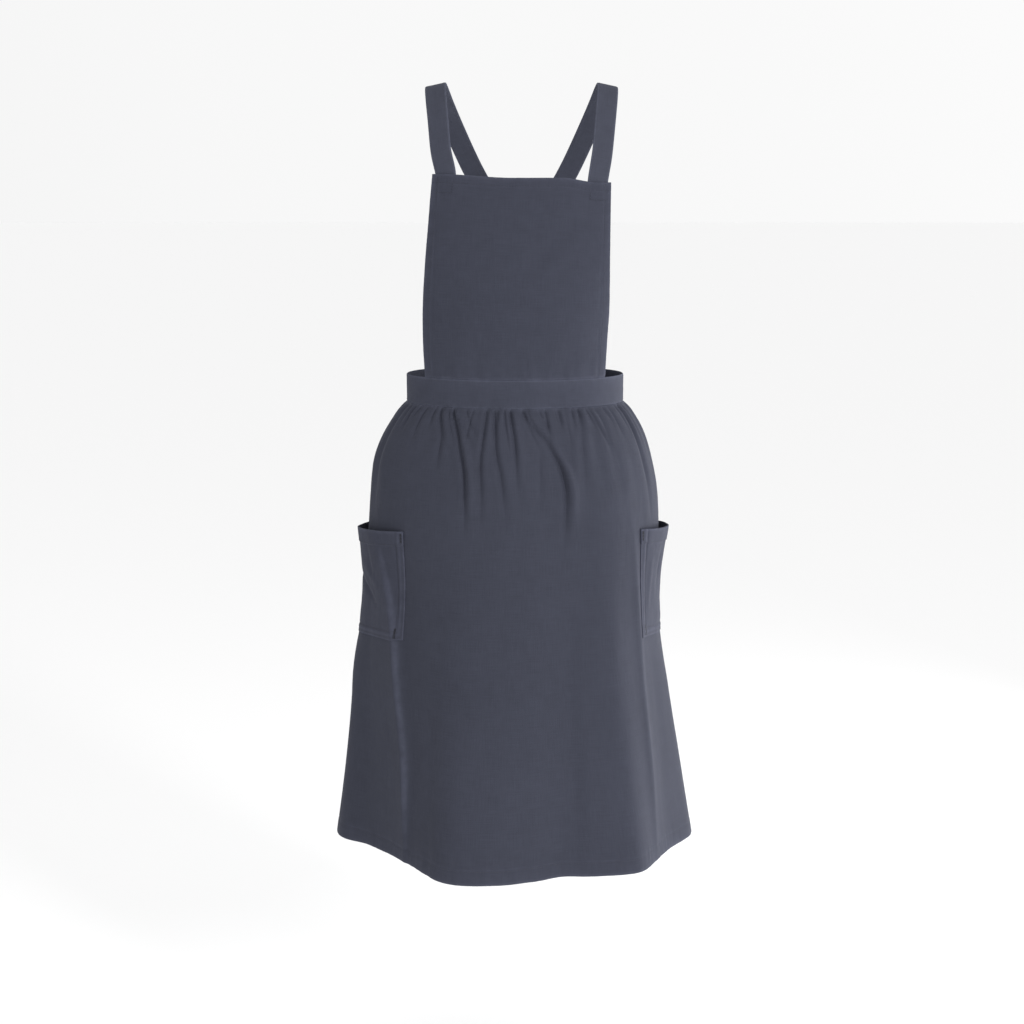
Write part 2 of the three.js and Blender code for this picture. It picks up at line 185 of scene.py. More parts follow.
def closedSheet(name, places, wall, uvs, normals=None, wearAndHighlight=0, rimLevel=0.0):
    # a closed wall round a middle surface, with a rounded edge all the way round
    rows, columns = places.shape[:2]
    normals = gridNormals(places) if normals is None else normals
    wall = np.broadcast_to(wall, (rows, columns))[..., None]
    worn = np.maximum(edgeWearAndHighlight(places), wearAndHighlight).reshape(-1)
    outer = places + normals * wall / 2
    inner = places - normals * wall / 2
    index = np.arange(rows * columns).reshape(rows, columns)
    a, b, c, d = index[:-1, :-1], index[1:, :-1], index[1:, 1:], index[:-1, 1:]
    faces = np.stack([a, b, c, d], -1).reshape(-1, 4).tolist()
    half = rows * columns
    faces += (np.stack([a, d, c, b], -1).reshape(-1, 4) + half).tolist()
    # the rim is one ring of middle points, pushed out by a part of the wall
    ring = np.concatenate([index[0, :], index[1:, -1], index[-1, -2::-1], index[-2:0:-1, 0]])
    flat = places.reshape(-1, 3)
    inward = np.clip(ring // columns, 1, rows - 2) * columns + np.clip(ring % columns, 1, columns - 2)
    rim = flat[ring] + wall.reshape(-1, 1)[ring] * (
        cloth["rimReach"] * unit(flat[ring] - flat[inward]) + rimLevel * normals.reshape(-1, 3)[ring])
    after = np.roll(ring, -1)
    rimHere = 2 * half + np.arange(len(ring))
    rimAfter = np.roll(rimHere, -1)
    faces += np.stack([ring, after, rimAfter, rimHere], -1).tolist()
    faces += np.stack([rimHere, rimAfter, half + after, half + ring], -1).tolist()
    flatMap = uvs.reshape(-1, 2)
    return makeObject(name, np.concatenate([outer.reshape(-1, 3), inner.reshape(-1, 3), rim]), faces,
                      np.concatenate([flatMap, flatMap, flatMap[ring]]),
                      np.concatenate([worn, 0.5 * worn, worn[ring]]))


# The waistband's oval, shared by the band, the bib's foot and the skirt's top

band = {
    "halfWidth": 150.0,
    "halfDepth": 100.0,
    "backGap": 110.0,
    "wall": 2.1,
    "edgeRound": 0.4,
    "columns": 470,
    "pucker": {"depth": 0.28, "size": (6.5, 30)},
    "drape": {"depth": 0.5, "size": (60, 40)},
    "crumple": {"depth": 0.12, "size": (8, 8)},
}
band["top"] = bandHigh[2]
band["bottom"] = bandLow[2]
band["height"] = band["top"] - band["bottom"]


def edgeAngle(halfWidth, gap):
    return 180 - np.arcsin(gap / 2 / halfWidth) / deg


bandEdge = edgeAngle(band["halfWidth"], band["backGap"])
arcAngles = np.linspace(0, bandEdge, 721)
arcPace = np.hypot(band["halfWidth"] * np.cos(arcAngles * deg), band["halfDepth"] * np.sin(arcAngles * deg))
arcRun = np.concatenate([[0], np.cumsum((arcPace[1:] + arcPace[:-1]) / 2) * (arcAngles[1] * deg)])
bandHalfRun = arcRun[-1]


def angleAtShare(share):
    return np.sign(share) * np.interp(np.abs(share) * bandHalfRun, arcRun, arcAngles)


# The skirt's form

skirt = {
    "hemHalfWidth": 254.0,
    "hemFrontDepth": 200.0,
    "hemBackDepth": 175.0,
    "hemBackGap": 100.0,
    "hemHeight": 20.0,
    "sideHem": 9.0,
    # unevenness of the hanging cloth, from broad to fine: its depth, then its size across and down
    "drape": {"depth": 1.5, "size": (62, 250)},
    "ripple": {"depth": 0.75, "size": (17, 75)},
    "crumple": {"depth": 0.13, "size": (7, 10)},
    "hemPucker": {"depth": 0.32, "size": (4.6, 40)},
    "hemLine": {"depth": 0.4, "width": 2.2},
    "columns": 576,
    "seenShare": 0.34,        # the front part whose long folds are all in the table below
    "fineShare": 0.5,         # the front part whose columns stand closer together
    "fineColumns": 0.62,
    "puff": 2.8,              # the gathered cloth stands out below the band
    "seamRise": (-0.001, 0.009),   # the drops between which the gathers deepen, so that the seam stays shut
}
skirt["top"] = skirtHigh[2]
skirt["length"] = skirtHigh[2] - skirtLow[2]

# Many small creases in the band's seam, and fewer deep ones that run further down. Drift is how far a crease
# wanders sideways, as a share of the band's half.
gatherKinds = table(
    "count depth drift end width deep",
    (58, 3.4, 0.014, (0.035, 0.13), (1.6, 2.6), False),
    (17, 4.8, 0.056, (0.14, 0.3), (2.6, 4.2), True),
)

# The hem's edge isn't level: heights in millimetres, and waves for each radian round
hemWaves = table("height rate seed", (1.6, 2.6, 6), (0.5, 9, 7))

skirtFlare = table(
    "drop left right front back",
    (0, 0, 0, 0, 0), (0.035, 0.16, 0.15, 0.1, 0.14), (0.07, 0.29, 0.26, 0.18, 0.25),
    (0.12, 0.41, 0.36, 0.25, 0.38), (0.19, 0.48, 0.46, 0.33, 0.52), (0.28, 0.53, 0.505, 0.4, 0.66),
    (0.4, 0.55, 0.495, 0.475, 0.73), (0.55, 0.685, 0.565, 0.57, 0.78), (0.69, 0.745, 0.69, 0.68, 0.84),
    (0.83, 0.85, 0.83, 0.82, 0.91), (1, 1, 1, 1, 1),
)

hemFolds = table(
    "angle reach",
    (-170, 0.97), (-147, 1.05), (-124, 0.93), (-104, 1.02), (-89, 0.996), (-75, 0.863), (-55, 0.818),
    (-40, 0.867), (-25, 1.01), (-19, 1.044), (-10, 1.027), (5, 0.953), (16, 0.893), (28, 0.956),
    (41, 1.025), (55, 0.948), (71, 0.9225), (101, 1.02), (124, 0.93), (147, 1.04), (170, 0.97),
)

foldGrowth = table(
    "drop folds",
    (0, 0), (0.09, 0.01), (0.15, 0.05), (0.27, 0.16), (0.55, 0.48), (1, 1),
)

# Folds that can be told apart: each line's drops are shares of the skirt's length, its angles are in
# degrees from the front, its depth in millimetres, and hold is where along it the fold begins to die out.
# A crease has a width, and a lip of cloth that rolls over its right side.
creases = table(
    "drops angles width depth hold lip",
    ((0, 0.054, 0.1, 0.15), (-41.5, -34.5, -33.2, -33), 2.8, -3.8, 0.4, 0.4),
    ((0, 0.034, 0.066, 0.128, 0.2, 0.28), (-33.5, -28, -24.5, -20.5, -19.7, -19.6), 2.6, -6.0, 0.5, 0.6),
    ((0, 0.026, 0.108, 0.184, 0.28), (-14.4, -13.8, -14.2, -13.2, -13.5), 2.6, -4.0, 0.3, 0.4),
    ((0, 0.024, 0.094, 0.139, 0.183, 0.27), (-10.8, -9.8, -7.7, -5.7, -4.7, -2.6), 2.8, -4.2, 0.35, 0.4),
    ((0, 0.035), (-8.9, -7.5), 2.0, -4.0, 0.3, 0.3),
    ((0, 0.063, 0.117, 0.2), (-2.4, -0.2, 0.3, 1.4), 2.6, -4.6, 0.35, 0.4),
    ((0, 0.027, 0.051, 0.09), (4, 6.5, 11, 16.4), 2.8, -4.6, 0.45, 0.6),
    ((0.04, 0.087, 0.118, 0.159, 0.203, 0.32), (11, 16, 18.7, 20.3, 20.3, 18.6), 3.0, -6.8, 0.36, 0.7),
    ((0.08, 0.25), (10.4, 9.4), 4, -2.2, 0.3, 0.2),
    ((0, 0.05), (22.3, 21.6), 2.4, -4.6, 0.4, 0.4),
    ((0, 0.067, 0.12, 0.21), (34, 30.3, 29.3, 28.5), 3.4, -3.2, 0.35, 0.4),
    ((0, 0.05), (38.6, 40.6), 2.2, -4.2, 0.4, 0.4),
)

# A crest falls away over a length to its left and another to its right, and its last column is the strength
# of a painted highlight along its line, where it would catch the light.
crests = table(
    "drops angles left right depth hold rounding worn",
    ((0.03, 0.119, 0.3), (27.6, 25.5, 24.8), 9, 14, 2.2, 0.5, 2, 0),
    # soft valleys in the front
    ((0.34, 0.49, 0.66, 0.83, 1.05), (23.5, 23, 22, 22.3, 21), 13, 16, -3.6, 0.7, 8, 0),
    ((0.6, 0.85, 1.1), (-33, -31, -29), 14, 18, -3, 0.95, 7, 0),
    # the side of the skirt, with its pocket, stands proud of the front on the left
    ((0.25, 0.33, 0.487, 0.628, 0.794, 1.1), (-70, -66, -55.8, -52.6, -47.2, -45), 46, 7, 10.5, 0.66, 2,
     0.9),
    # the front turns into the right side along a crest
    ((0.2, 0.344, 0.5, 0.6, 0.72, 0.85, 1.1), (51, 55, 57.4, 57, 56.6, 56.4, 54), 20, 19, 8, 0.6, 4, 0.3),
    # the sides and the back hang in rounder folds
    ((0.5, 0.75, 1.1), (-92, -87, -84), 26, 18, 6, 0.95, 9, 0),
    ((0.05, 0.3, 0.7, 1.1), (-119, -121, -125, -127), 20, 28, 6, 0.95, 9, 0),
    ((0.02, 0.3, 0.6, 1.1), (-139, -142, -147, -150), 15, 22, 6.5, 0.95, 9, 0),
    ((0.5, 0.8, 1.1), (83, 86, 88), 26, 18, 6, 0.95, 9, 0),
    ((0.04, 0.3, 0.7, 1.1), (117, 119, 123, 126), 18, 28, 6.5, 0.95, 9, 0),
    ((0.02, 0.3, 0.6, 1.1), (138, 141, 145, 149), 26, 16, 5.5, 0.95, 9, 0),
)


def driftBeside(share, end):
    # small gathers run alongside a long fold that starts near them
    angle = float(angleAtShare(share))
    for fold in creases:
        starts = fold["angles"][:3]
        if fold["drops"][0] == 0 and min(starts) - 2 < angle < max(starts) + 2:
            lean = (fold["angles"][1] - fold["angles"][0]) / fold["drops"][1] * end
            return lean * band["halfWidth"] * deg / bandHalfRun
    return None


def makeGathers():
    dice = np.random.default_rng(11)
    rows = []
    for kind in gatherKinds:
        for i in range(kind["count"]):
            share = -1 + 2 * (i + 0.5 + dice.uniform(-0.28, 0.28)) / kind["count"]
            if kind["deep"] and abs(share) < skirt["seenShare"]:
                continue
            depth = kind["depth"] * dice.uniform(0.45, 1.15)
            drift = kind["drift"] * dice.uniform(-1, 1)
            end = dice.uniform(*kind["end"])
            beside = driftBeside(share, end)
            coarse = 1.4 if abs(share) > skirt["fineShare"] else 1
            rows.append({
                "share": share,
                "drift": drift if beside is None else beside,
                "end": end,
                "width": dice.uniform(*kind["width"]) * coarse,
                "depth": -depth,
            })
    return rows


gatherRows = makeGathers()


def skirtOval(angle, drop):
    left = angle < 0
    front = np.abs(angle) < 90
    wideShare = np.where(left, tableCurve(skirtFlare, "drop", "left", drop),
                         tableCurve(skirtFlare, "drop", "right", drop))
    deepShare = np.where(front, tableCurve(skirtFlare, "drop", "front", drop),
                         tableCurve(skirtFlare, "drop", "back", drop))
    hemDepth = np.where(front, skirt["hemFrontDepth"], skirt["hemBackDepth"])
    wide = band["halfWidth"] + (skirt["hemHalfWidth"] - band["halfWidth"]) * wideShare
    deep = band["halfDepth"] + (hemDepth - band["halfDepth"]) * deepShare
    growth = tableCurve(foldGrowth, "drop", "folds", drop)
    fold = 1 + (tableCurve(hemFolds, "angle", "reach", angle) - 1) * growth
    x = cloth["hipShift"] + wide * fold * np.sin(angle * deg)
    y = -cloth["hipForward"] - deep * fold * np.cos(angle * deg)
    z = skirt["top"] - skirt["length"] * drop
    return np.stack([x, y, z + 0 * angle], -1), np.sqrt((wide * np.cos(angle * deg)) ** 2
                                                         + (deep * np.sin(angle * deg)) ** 2)


def creaseProfile(away, width, lip=0.2):
    # nearly sharp at its bottom, with soft shoulders and a lip on its right
    shoulders = 0.25 * np.exp(-(away / (width * 2.4)) ** 2)
    rolled = lip * np.exp(-((away - 2.1 * width) / (1.5 * width)) ** 2)
    return np.exp(-(np.abs(away) / width) ** 1.5) - shoulders - rolled


def crestProfile(away, left, right, rounding):
    return np.exp(-(np.sqrt(away ** 2 + rounding ** 2) - rounding) / np.where(away < 0, left, right))


def uneven(layer, across, down, seed):
    return layer["depth"] * softNoise(across / layer["size"][0], down / layer["size"][1], seed)


def skirtRelief(angle, drop, pace):
    # pace is the run in millimetres for one radian of angle at each place
    relief = 0 * angle
    for fold in creases + crests:
        first, last = fold["drops"][0], fold["drops"][-1]
        line = lineCurve(fold["drops"], fold["angles"], drop)
        away = (angle - line) * deg * pace
        along = (drop - first) / (last - first)
        fade = 1 - smoothStep(along, fold["hold"], 1)
        fade = fade * (smoothStep(along, -0.02, 0.25) if first > 0 else smoothStep(drop, *skirt["seamRise"]))
        if "lip" in fold:
            shape = creaseProfile(away, fold["width"] * (1 + 0.8 * np.clip(along, 0, 1)), fold["lip"])
        else:
            shape = crestProfile(away, fold["left"], fold["right"], fold["rounding"])
        relief += fold["depth"] * fade * shape
    edge = edgeAngle(skirt["hemHalfWidth"], skirt["hemBackGap"]) - bandEdge
    turned = angle / (1 + edge * drop / bandEdge)
    share = np.sign(turned) * np.interp(np.abs(turned), arcAngles, arcRun) / bandHalfRun
    for gather in gatherRows:
        along = drop / gather["end"]
        t = np.clip(along, 0, 1)
        stretch = pace / 125
        away = (share - gather["share"] - gather["drift"] * t) * bandHalfRun * stretch
        fade = smoothStep(drop, *skirt["seamRise"]) * (1 - smoothStep(along, 0.3, 1.0))
        relief += gather["depth"] * fade * creaseProfile(away, gather["width"] * (1 + 0.9 * t))
    run = angle * deg * 190
    fall = drop * skirt["length"]
    settled = smoothStep(drop, 0.06, 0.45)
    nearTop = 1 - smoothStep(drop, 0.12, 0.34)
    relief += skirt["puff"] * (0.25 + 0.75 * smoothStep(drop, 0, 0.02)) * nearTop
    relief += settled * uneven(skirt["drape"], run, fall, 1)
    rippled = (0.4 + 0.6 * nearTop) * smoothStep(drop, 0.01, 0.06)
    relief += rippled * uneven(skirt["ripple"], run, fall, 2)
    relief += smoothStep(drop, 0.01, 0.05) * uneven(skirt["crumple"], run, fall, 3)
    # the hem's stitch line draws the cloth in a little, and puckers run across the turned edge
    fromHem = skirt["length"] * (1 - drop)
    hemLine = np.exp(-((fromHem - skirt["hemHeight"]) / skirt["hemLine"]["width"]) ** 2)
    pucker = uneven(skirt["hemPucker"], run, fall, 4) * smoothStep(fromHem, 34, 16)
    return relief - skirt["hemLine"]["depth"] * hemLine + pucker


def crestHighlight(angle, drop):
    # a painted highlight: a crest goes paler just to the right of its line, where it would catch the light
    pace = skirtOval(angle, drop)[1]
    worn = 0 * angle
    for fold in crests:
        away = (angle - lineCurve(fold["drops"], fold["angles"], drop)) * deg * pace
        along = (drop - fold["drops"][0]) / (fold["drops"][-1] - fold["drops"][0])
        fade = smoothStep(along, 0, 0.2) * (1 - smoothStep(along, fold["hold"], 1))
        worn += fold["worn"] * fade * np.exp(-((away - 4) / 4.2) ** 2)
    return worn


def skirtPlace(angle, drop):
    places, pace = skirtOval(angle, drop)
    ahead, _ = skirtOval(angle + 0.05, drop)
    side = ahead - places
    outward = unit(np.stack([side[..., 1], -side[..., 0], 0 * side[..., 0]], -1))
    relief = skirtRelief(angle, drop, pace)
    places = places + outward * relief[..., None]
    for wave in hemWaves:
        rise = wave["height"] * softNoise(angle * deg * wave["rate"], 0 * angle, wave["seed"])
        places[..., 2] += rise * smoothStep(drop, 0.8, 1)
    return places


def skirtDrops():
    # rows stand closer together in the gathers and at the hem, whose rows are in millimetres from its edge
    hemRows = np.array([26, 23.5, 21.6, 20.4, 19.4, 18.2, 15, 11, 7, 3.5, 1.4, 0.5, 0])
    return np.concatenate([
        np.linspace(0, 0.02, 6), np.linspace(0.02, 0.3, 34)[1:], np.linspace(0.3, 0.5, 15)[1:],
        np.linspace(0.5, 0.955, 20)[1:], 1 - hemRows / skirt["length"],
    ])


def skirtShares():
    along = np.linspace(-1, 1, skirt["columns"] + 1)
    spacing = [0, skirt["fineColumns"], 1], [0, skirt["fineShare"], 1]
    return np.sign(along) * np.interp(np.abs(along), *spacing)


def makeSkirt():
    dropGrid, shareGrid = np.meshgrid(skirtDrops(), skirtShares(), indexing="ij")
    hemEdge = edgeAngle(skirt["hemHalfWidth"], skirt["hemBackGap"])
    angle = angleAtShare(shareGrid) * (1 + (hemEdge / bandEdge - 1) * dropGrid)
    places = skirtPlace(angle, dropGrid)
    normals = gridNormals(places)
    levelEnd(normals, 0)
    fromHem = skirt["length"] * (1 - dropGrid)
    fromSide = (1 - np.abs(shareGrid)) * bandHalfRun * (1 + dropGrid)
    turned = np.maximum(smoothStep(fromHem, skirt["hemHeight"] + 0.9, skirt["hemHeight"] - 0.9),
                        smoothStep(fromSide, skirt["sideHem"] + 1.5, skirt["sideHem"] - 1.5))
    places, wall = hemmed(places, normals, turned)
    middleRow = len(places) // 2
    run = np.concatenate([[0], np.cumsum(np.linalg.norm(np.diff(places[middleRow], axis=0), axis=1))])
    uvs = np.stack([np.broadcast_to(run, dropGrid.shape), -dropGrid * skirt["length"]], -1)
    # the hem's stitch line goes pale with wear, and the crests get a painted highlight
    wearAndHighlight = np.maximum(0.3 * np.exp(-((fromHem - skirt["hemHeight"]) / 1.6) ** 2), crestHighlight(angle, dropGrid))
    return closedSheet("skirt_cloth", places, wall, uvs, normals, wearAndHighlight), places, normals


# The bib

bib = {
    "halfWidth": 125.0,
    "cornerDip": 6.0,
    "dipFrom": 0.45,
    "dipTo": 0.85,
    "cornerLift": 5.0,        # the left corner stands higher
    "bustForward": 16.0,
    "chestWidth": 170.0,
    "chestDepth": 77.0,
    "topHem": 12.0,
    "sideHem": 10.0,
    "drape": {"depth": 1.2, "size": (75, 120)},
    "ripple": {"depth": 0.3, "size": (22, 34)},
    "crumple": {"depth": 0.07, "size": (6, 7)},
    "footPucker": {"depth": 0.9, "size": (7.5, 60)},
    "footPull": {"depth": 1.1, "size": (15, 110)},
    "hemPucker": {"depth": 0.16, "size": (4.2, 4.2)},
    # the soft hollow that runs down from the right of the chest
    "hollow": {"across": 78, "fall": 50, "lean": 0.95, "width": 17, "depth": 1.7},
}
bib["top"] = bibHigh[2]
bib["height"] = bibHigh[2] - bibLow[2]

bibShape = table(
    "drop width forward sway",
    (0, 0.952, -0.62, 0), (0.21, 0.965, 0.38, 0.3), (0.43, 0.985, 1, 0.6), (0.62, 1, 0.8, 0.8),
    (0.8, 0.995, 0.3, 0.95), (1, 0.98, 0, 1),
)


def bibRelief(across, fall):
    foot = bib["height"] - fall
    relief = uneven(bib["drape"], across + fall * 0.5, fall - across * 0.4, 11)
    relief *= smoothStep(fall, 0, 40) * smoothStep(foot, 0, 40)
    relief += uneven(bib["ripple"], across, fall, 12) * smoothStep(foot, 0, 10)
    relief += uneven(bib["crumple"], across, fall, 13)
    hollow = bib["hollow"]
    away = across - (hollow["across"] - (fall - hollow["fall"]) * hollow["lean"])
    shape = np.exp(-(away / hollow["width"]) ** 2)
    relief -= hollow["depth"] * shape * smoothStep(fall, 20, 60) * smoothStep(fall, 150, 105)
    # small puckers that rise from the band's seam
    pucker = uneven(bib["footPucker"], across, fall, 14) * smoothStep(foot, 38, 4)
    pull = uneven(bib["footPull"], across + fall * 0.09, fall, 16) * smoothStep(foot, 80, 15)
    relief += (pucker + pull) * smoothStep(foot, 0, 5)
    sideGap = bib["halfWidth"] - np.abs(across)
    for gap, place in ((fall, bib["topHem"]), (sideGap - 3, bib["sideHem"])):
        relief -= 0.3 * np.exp(-((gap - place) / 1.1) ** 2)
        turned = smoothStep(gap, place + 8, place - 1)
        relief += uneven(bib["hemPucker"], across, fall, 15) * turned
    return relief


def bibPlace(share, drop, plain=False):
    halfWidth = bib["halfWidth"] * tableCurve(bibShape, "drop", "width", drop)
    middle = cloth["hipShift"] * tableCurve(bibShape, "drop", "sway", drop)
    forward = bib["bustForward"] * tableCurve(bibShape, "drop", "forward", drop)
    front = -(cloth["hipForward"] + band["halfDepth"]) - forward
    curveWidth = bib["chestWidth"] + (band["halfWidth"] - bib["chestWidth"]) * drop
    curveDepth = bib["chestDepth"] + (band["halfDepth"] - bib["chestDepth"]) * drop
    across = halfWidth * share
    y = front + curveDepth * (1 - np.sqrt(1 - (across / curveWidth) ** 2))
    top = bib["top"] - bib["cornerDip"] * smoothStep(share, bib["dipFrom"], bib["dipTo"])
    top = top + bib["cornerLift"] * smoothStep(-share, 0.1, 0.95)
    z = top + (band["top"] + cloth["seamGap"] - top) * drop
    places = np.stack([middle + across, y, z], -1)
    if plain:
        return places
    normals = gridNormals(places) if places.ndim == 3 else None
    return places + normals * bibRelief(across, drop * bib["height"])[..., None]


def bibGrid():
    sideLines = bib["sideHem"] / bib["halfWidth"]
    hemShares = sideLines * np.array([0, 0.06, 0.2, 0.5, 0.78, 0.88, 0.95, 1.02, 1.1, 1.22])
    inner = np.linspace(-1 + sideLines * 1.4, 1 - sideLines * 1.4, 136)
    share = np.concatenate([-1 + hemShares, inner, 1 - hemShares[::-1]])
    topLines = bib["topHem"] / bib["height"]
    drop = np.concatenate([
        topLines * np.array([0, 0.05, 0.18, 0.45, 0.72, 0.86, 0.94, 1.02, 1.1, 1.22]),
        np.linspace(topLines * 1.4, 1, 150),
    ])
    return np.meshgrid(drop, share, indexing="ij")


def makeBib():
    dropGrid, shareGrid = bibGrid()
    places = bibPlace(shareGrid, dropGrid)
    normals = gridNormals(places)
    levelEnd(normals, -1)
    fall = dropGrid * bib["height"]
    sideGap = bib["halfWidth"] * (1 - np.abs(shareGrid))
    turned = np.maximum(smoothStep(fall, bib["topHem"] + 0.7, bib["topHem"] - 0.7),
                        smoothStep(sideGap, bib["sideHem"] + 0.7, bib["sideHem"] - 0.7))
    places, wall = hemmed(places, normals, turned)
    uvs = np.stack([shareGrid * bib["halfWidth"], -fall], -1)
    wearAndHighlight = 0.3 * np.exp(-((np.minimum(fall - bib["topHem"], sideGap - bib["sideHem"])) / 1.4) ** 2)
    return closedSheet("bib_cloth", places, wall, uvs, normals, wearAndHighlight), places, normals


# The waistband

def bandHeights():
    return np.concatenate([[0, 0.4, 1.2, 2.4], np.linspace(4, band["height"] - 4, 18),
                           band["height"] - np.array([2.4, 1.2, 0.4, 0])])


def makeWaistband():
    fallGrid, shareGrid = np.meshgrid(bandHeights(), np.linspace(-1, 1, band["columns"] + 1), indexing="ij")
    angle = angleAtShare(shareGrid)
    outward = unit(np.stack([band["halfDepth"] * np.sin(angle * deg),
                             -band["halfWidth"] * np.cos(angle * deg), 0 * angle], -1))
    run = shareGrid * bandHalfRun
    edge = np.minimum(fallGrid, band["height"] - fallGrid)
    relief = uneven(band["pucker"], run, fallGrid, 21) * smoothStep(edge, 9, 1)
    relief += uneven(band["drape"], run, fallGrid, 22) * smoothStep(edge, 0, 6)
    relief += uneven(band["crumple"], run, fallGrid, 23)
    x = cloth["hipShift"] + band["halfWidth"] * np.sin(angle * deg)
    y = -cloth["hipForward"] - band["halfDepth"] * np.cos(angle * deg)
    places = np.stack([x, y, band["top"] - fallGrid], -1) + outward * relief[..., None]
    wall = band["wall"] - 1.5 * band["edgeRound"] * smoothStep(edge, 2.2, 0)
    uvs = np.stack([run, -fallGrid], -1)
    return closedSheet("waistband_cloth", places, wall, uvs, outward), places, outward


# The pockets

pocket = {
    "width": 205.0,
    "height": 152.0,
    "drop": 170.0,
    "mouthDip": 13.0,
    "frontAngle": {"left": 49.5, "right": 59.0},
    "gape": 12.5,
    "roundness": 0.8,
    "closing": 1.7,
    "hem": 20.0,
    "clearance": 0.12,
    # a felled seam stands up between its two rows of stitches, and the inner row lies in a groove
    "seamBead": {"inset": 7.5, "width": 2.4, "height": 0.7},
    "seamGroove": {"inset": 12.4, "width": 1.4, "depth": 0.6},
    "stitchInsets": (3.0, 12.4),
    "columns": 190,
    "rows": 120,
}

# Wrinkles in a pocket: from and to as shares across and down, width and depth in millimetres
pocketWrinkles = table(
    "side from to width depth",
    ("left", (0.62, 0.36), (0.26, 0.7), 4.5, -2.4),
    ("left", (0.5, 0.26), (0.2, 0.56), 8, 1.8),
    ("left", (0.36, 0.14), (0.3, 0.5), 5, -1.2),
    ("right", (0.14, 0.2), (0.1, 0.8), 6, 1.6),
    ("right", (0.3, 0.12), (0.26, 0.6), 6, -1.6),
    ("right", (0.62, 0.16), (0.5, 0.6), 9, 1.2),
)


def angleAfter(start, sign, length, drop):
    angles = np.arange(start, bandEdge, 0.25)
    places, _ = skirtOval(sign * angles, drop + 0 * angles)
    run = np.concatenate([[0], np.cumsum(np.linalg.norm(np.diff(places, axis=0), axis=1))])
    return float(np.interp(length, run, angles))


def pocketLines(total, hem, count):
    marks = hem + np.array([-1.2, -0.5, 0.3, 1.2])
    plain = np.linspace(0, total, count)
    plain = plain[np.all(np.abs(plain[:, None] - marks) > 0.7, axis=1)]
    return np.sort(np.concatenate([plain, marks, [0.4, total - 0.4]])) / total


def makePocket(side):
    sign = -1 if side == "left" else 1
    middleDrop = (pocket["drop"] + pocket["height"] / 2) / skirt["length"]
    front = pocket["frontAngle"][side]
    back = angleAfter(front, sign, pocket["width"], middleDrop)
    across = np.linspace(0, 1, pocket["columns"] + 1)
    if sign < 0:
        across = across[::-1]
    down = pocketLines(pocket["height"], pocket["hem"], pocket["rows"])
    downGrid, acrossGrid = np.meshgrid(down, across, indexing="ij")
    angle = sign * (front + (back - front) * acrossGrid)
    mouthDrop = pocket["drop"] + pocket["mouthDip"] * np.sin(math.pi / 2 * acrossGrid)
    drop = (mouthDrop + pocket["height"] * downGrid) / skirt["length"]
    base = skirtPlace(angle, drop)
    normals = gridNormals(base)
    gape = pocket["gape"] * np.sin(math.pi * acrossGrid) ** pocket["roundness"]
    gape = gape * (1 - downGrid) ** pocket["closing"]
    edge = np.minimum(np.minimum(acrossGrid, 1 - acrossGrid) * pocket["width"],
                      (1 - downGrid) * pocket["height"])
    mouthHem = smoothStep(downGrid * pocket["height"], pocket["hem"] + 0.8, pocket["hem"] - 0.8)
    wall = cloth["wall"] + (cloth["hemWall"] - cloth["wall"]) * mouthHem
    inside = smoothStep(edge, 2, 26)
    relief = 0.9 * inside * (1 + softNoise(acrossGrid * 2.6, downGrid * 2.2, 31 + sign))
    relief += 0.5 * inside * softNoise(acrossGrid * 9, downGrid * 6, 33 + sign)
    relief += 0.1 * softNoise(acrossGrid * 28, downGrid * 22, 35)
    seamBead, seamGroove = pocket["seamBead"], pocket["seamGroove"]
    bead = np.exp(-((edge - seamBead["inset"]) / seamBead["width"]) ** 2)
    groove = np.exp(-((edge - seamGroove["inset"]) / seamGroove["width"]) ** 2)
    relief += seamBead["height"] * bead - seamGroove["depth"] * groove
    for wrinkle in pocketWrinkles:
        if wrinkle["side"] == side:
            panel = np.array([pocket["width"], pocket["height"]])
            start = np.array(wrinkle["from"]) * panel
            line = np.array(wrinkle["to"]) * panel - start
            px = acrossGrid * pocket["width"] - start[0]
            py = downGrid * pocket["height"] - start[1]
            t = np.clip((px * line[0] + py * line[1]) / (line @ line), 0, 1)
            away = np.hypot(px - t * line[0], py - t * line[1])
            relief += wrinkle["depth"] * np.sin(math.pi * np.clip(t, 0.08, 0.92)) * np.exp(
                -(away / wrinkle["width"]) ** 2) * (0.35 + 0.65 * inside)
    offset = cloth["wall"] / 2 + pocket["clearance"] + wall / 2 + gape
    offset = offset + np.maximum(relief, -0.8 * gape - 0.1)
    rim = np.exp(-((downGrid * pocket["height"] - pocket["hem"]) / 1.3) ** 2)
    offset = offset - 0.25 * rim * smoothStep(gape, 0.5, 3)
    places = base + normals * offset[..., None]
    uvs = np.stack([acrossGrid * pocket["width"], -downGrid * pocket["height"]], -1)
    # the mouth's hem line goes pale with wear; the seam bead and the crests get a painted highlight where
    # they would catch the light
    wearAndHighlight = np.maximum(0.35 * np.exp(-((downGrid * pocket["height"] - pocket["hem"]) / 1.4) ** 2), 0.6 * bead)
    wearAndHighlight = np.maximum(wearAndHighlight, 0.8 * crestHighlight(angle, drop))
    made = closedSheet("pocket_" + side + "_cloth", places, wall, uvs, None, wearAndHighlight, -0.55)
    return made, places, gridNormals(places), acrossGrid, downGrid


# The straps

strap = {
    "width": 28.0,
    "wall": 2.0,
    "inset": 3.0,
    "spread": 117.0,
    "tuck": 26.0,
    "bandTuck": 30.0,
    "bandLead": 14.0,
    "bandReach": 76.0,
    "chestDepth": 86.0,
    "backDepth": 100.0,
    "crossingDrop": 235.0,
    "crossingSpan": 84.0,
    "steps": 420,
    "across": 15,
    "ripple": {"depth": 0.35, "size": (26, 20)},
    "crumple": {"depth": 0.12, "size": (7, 7)},
}

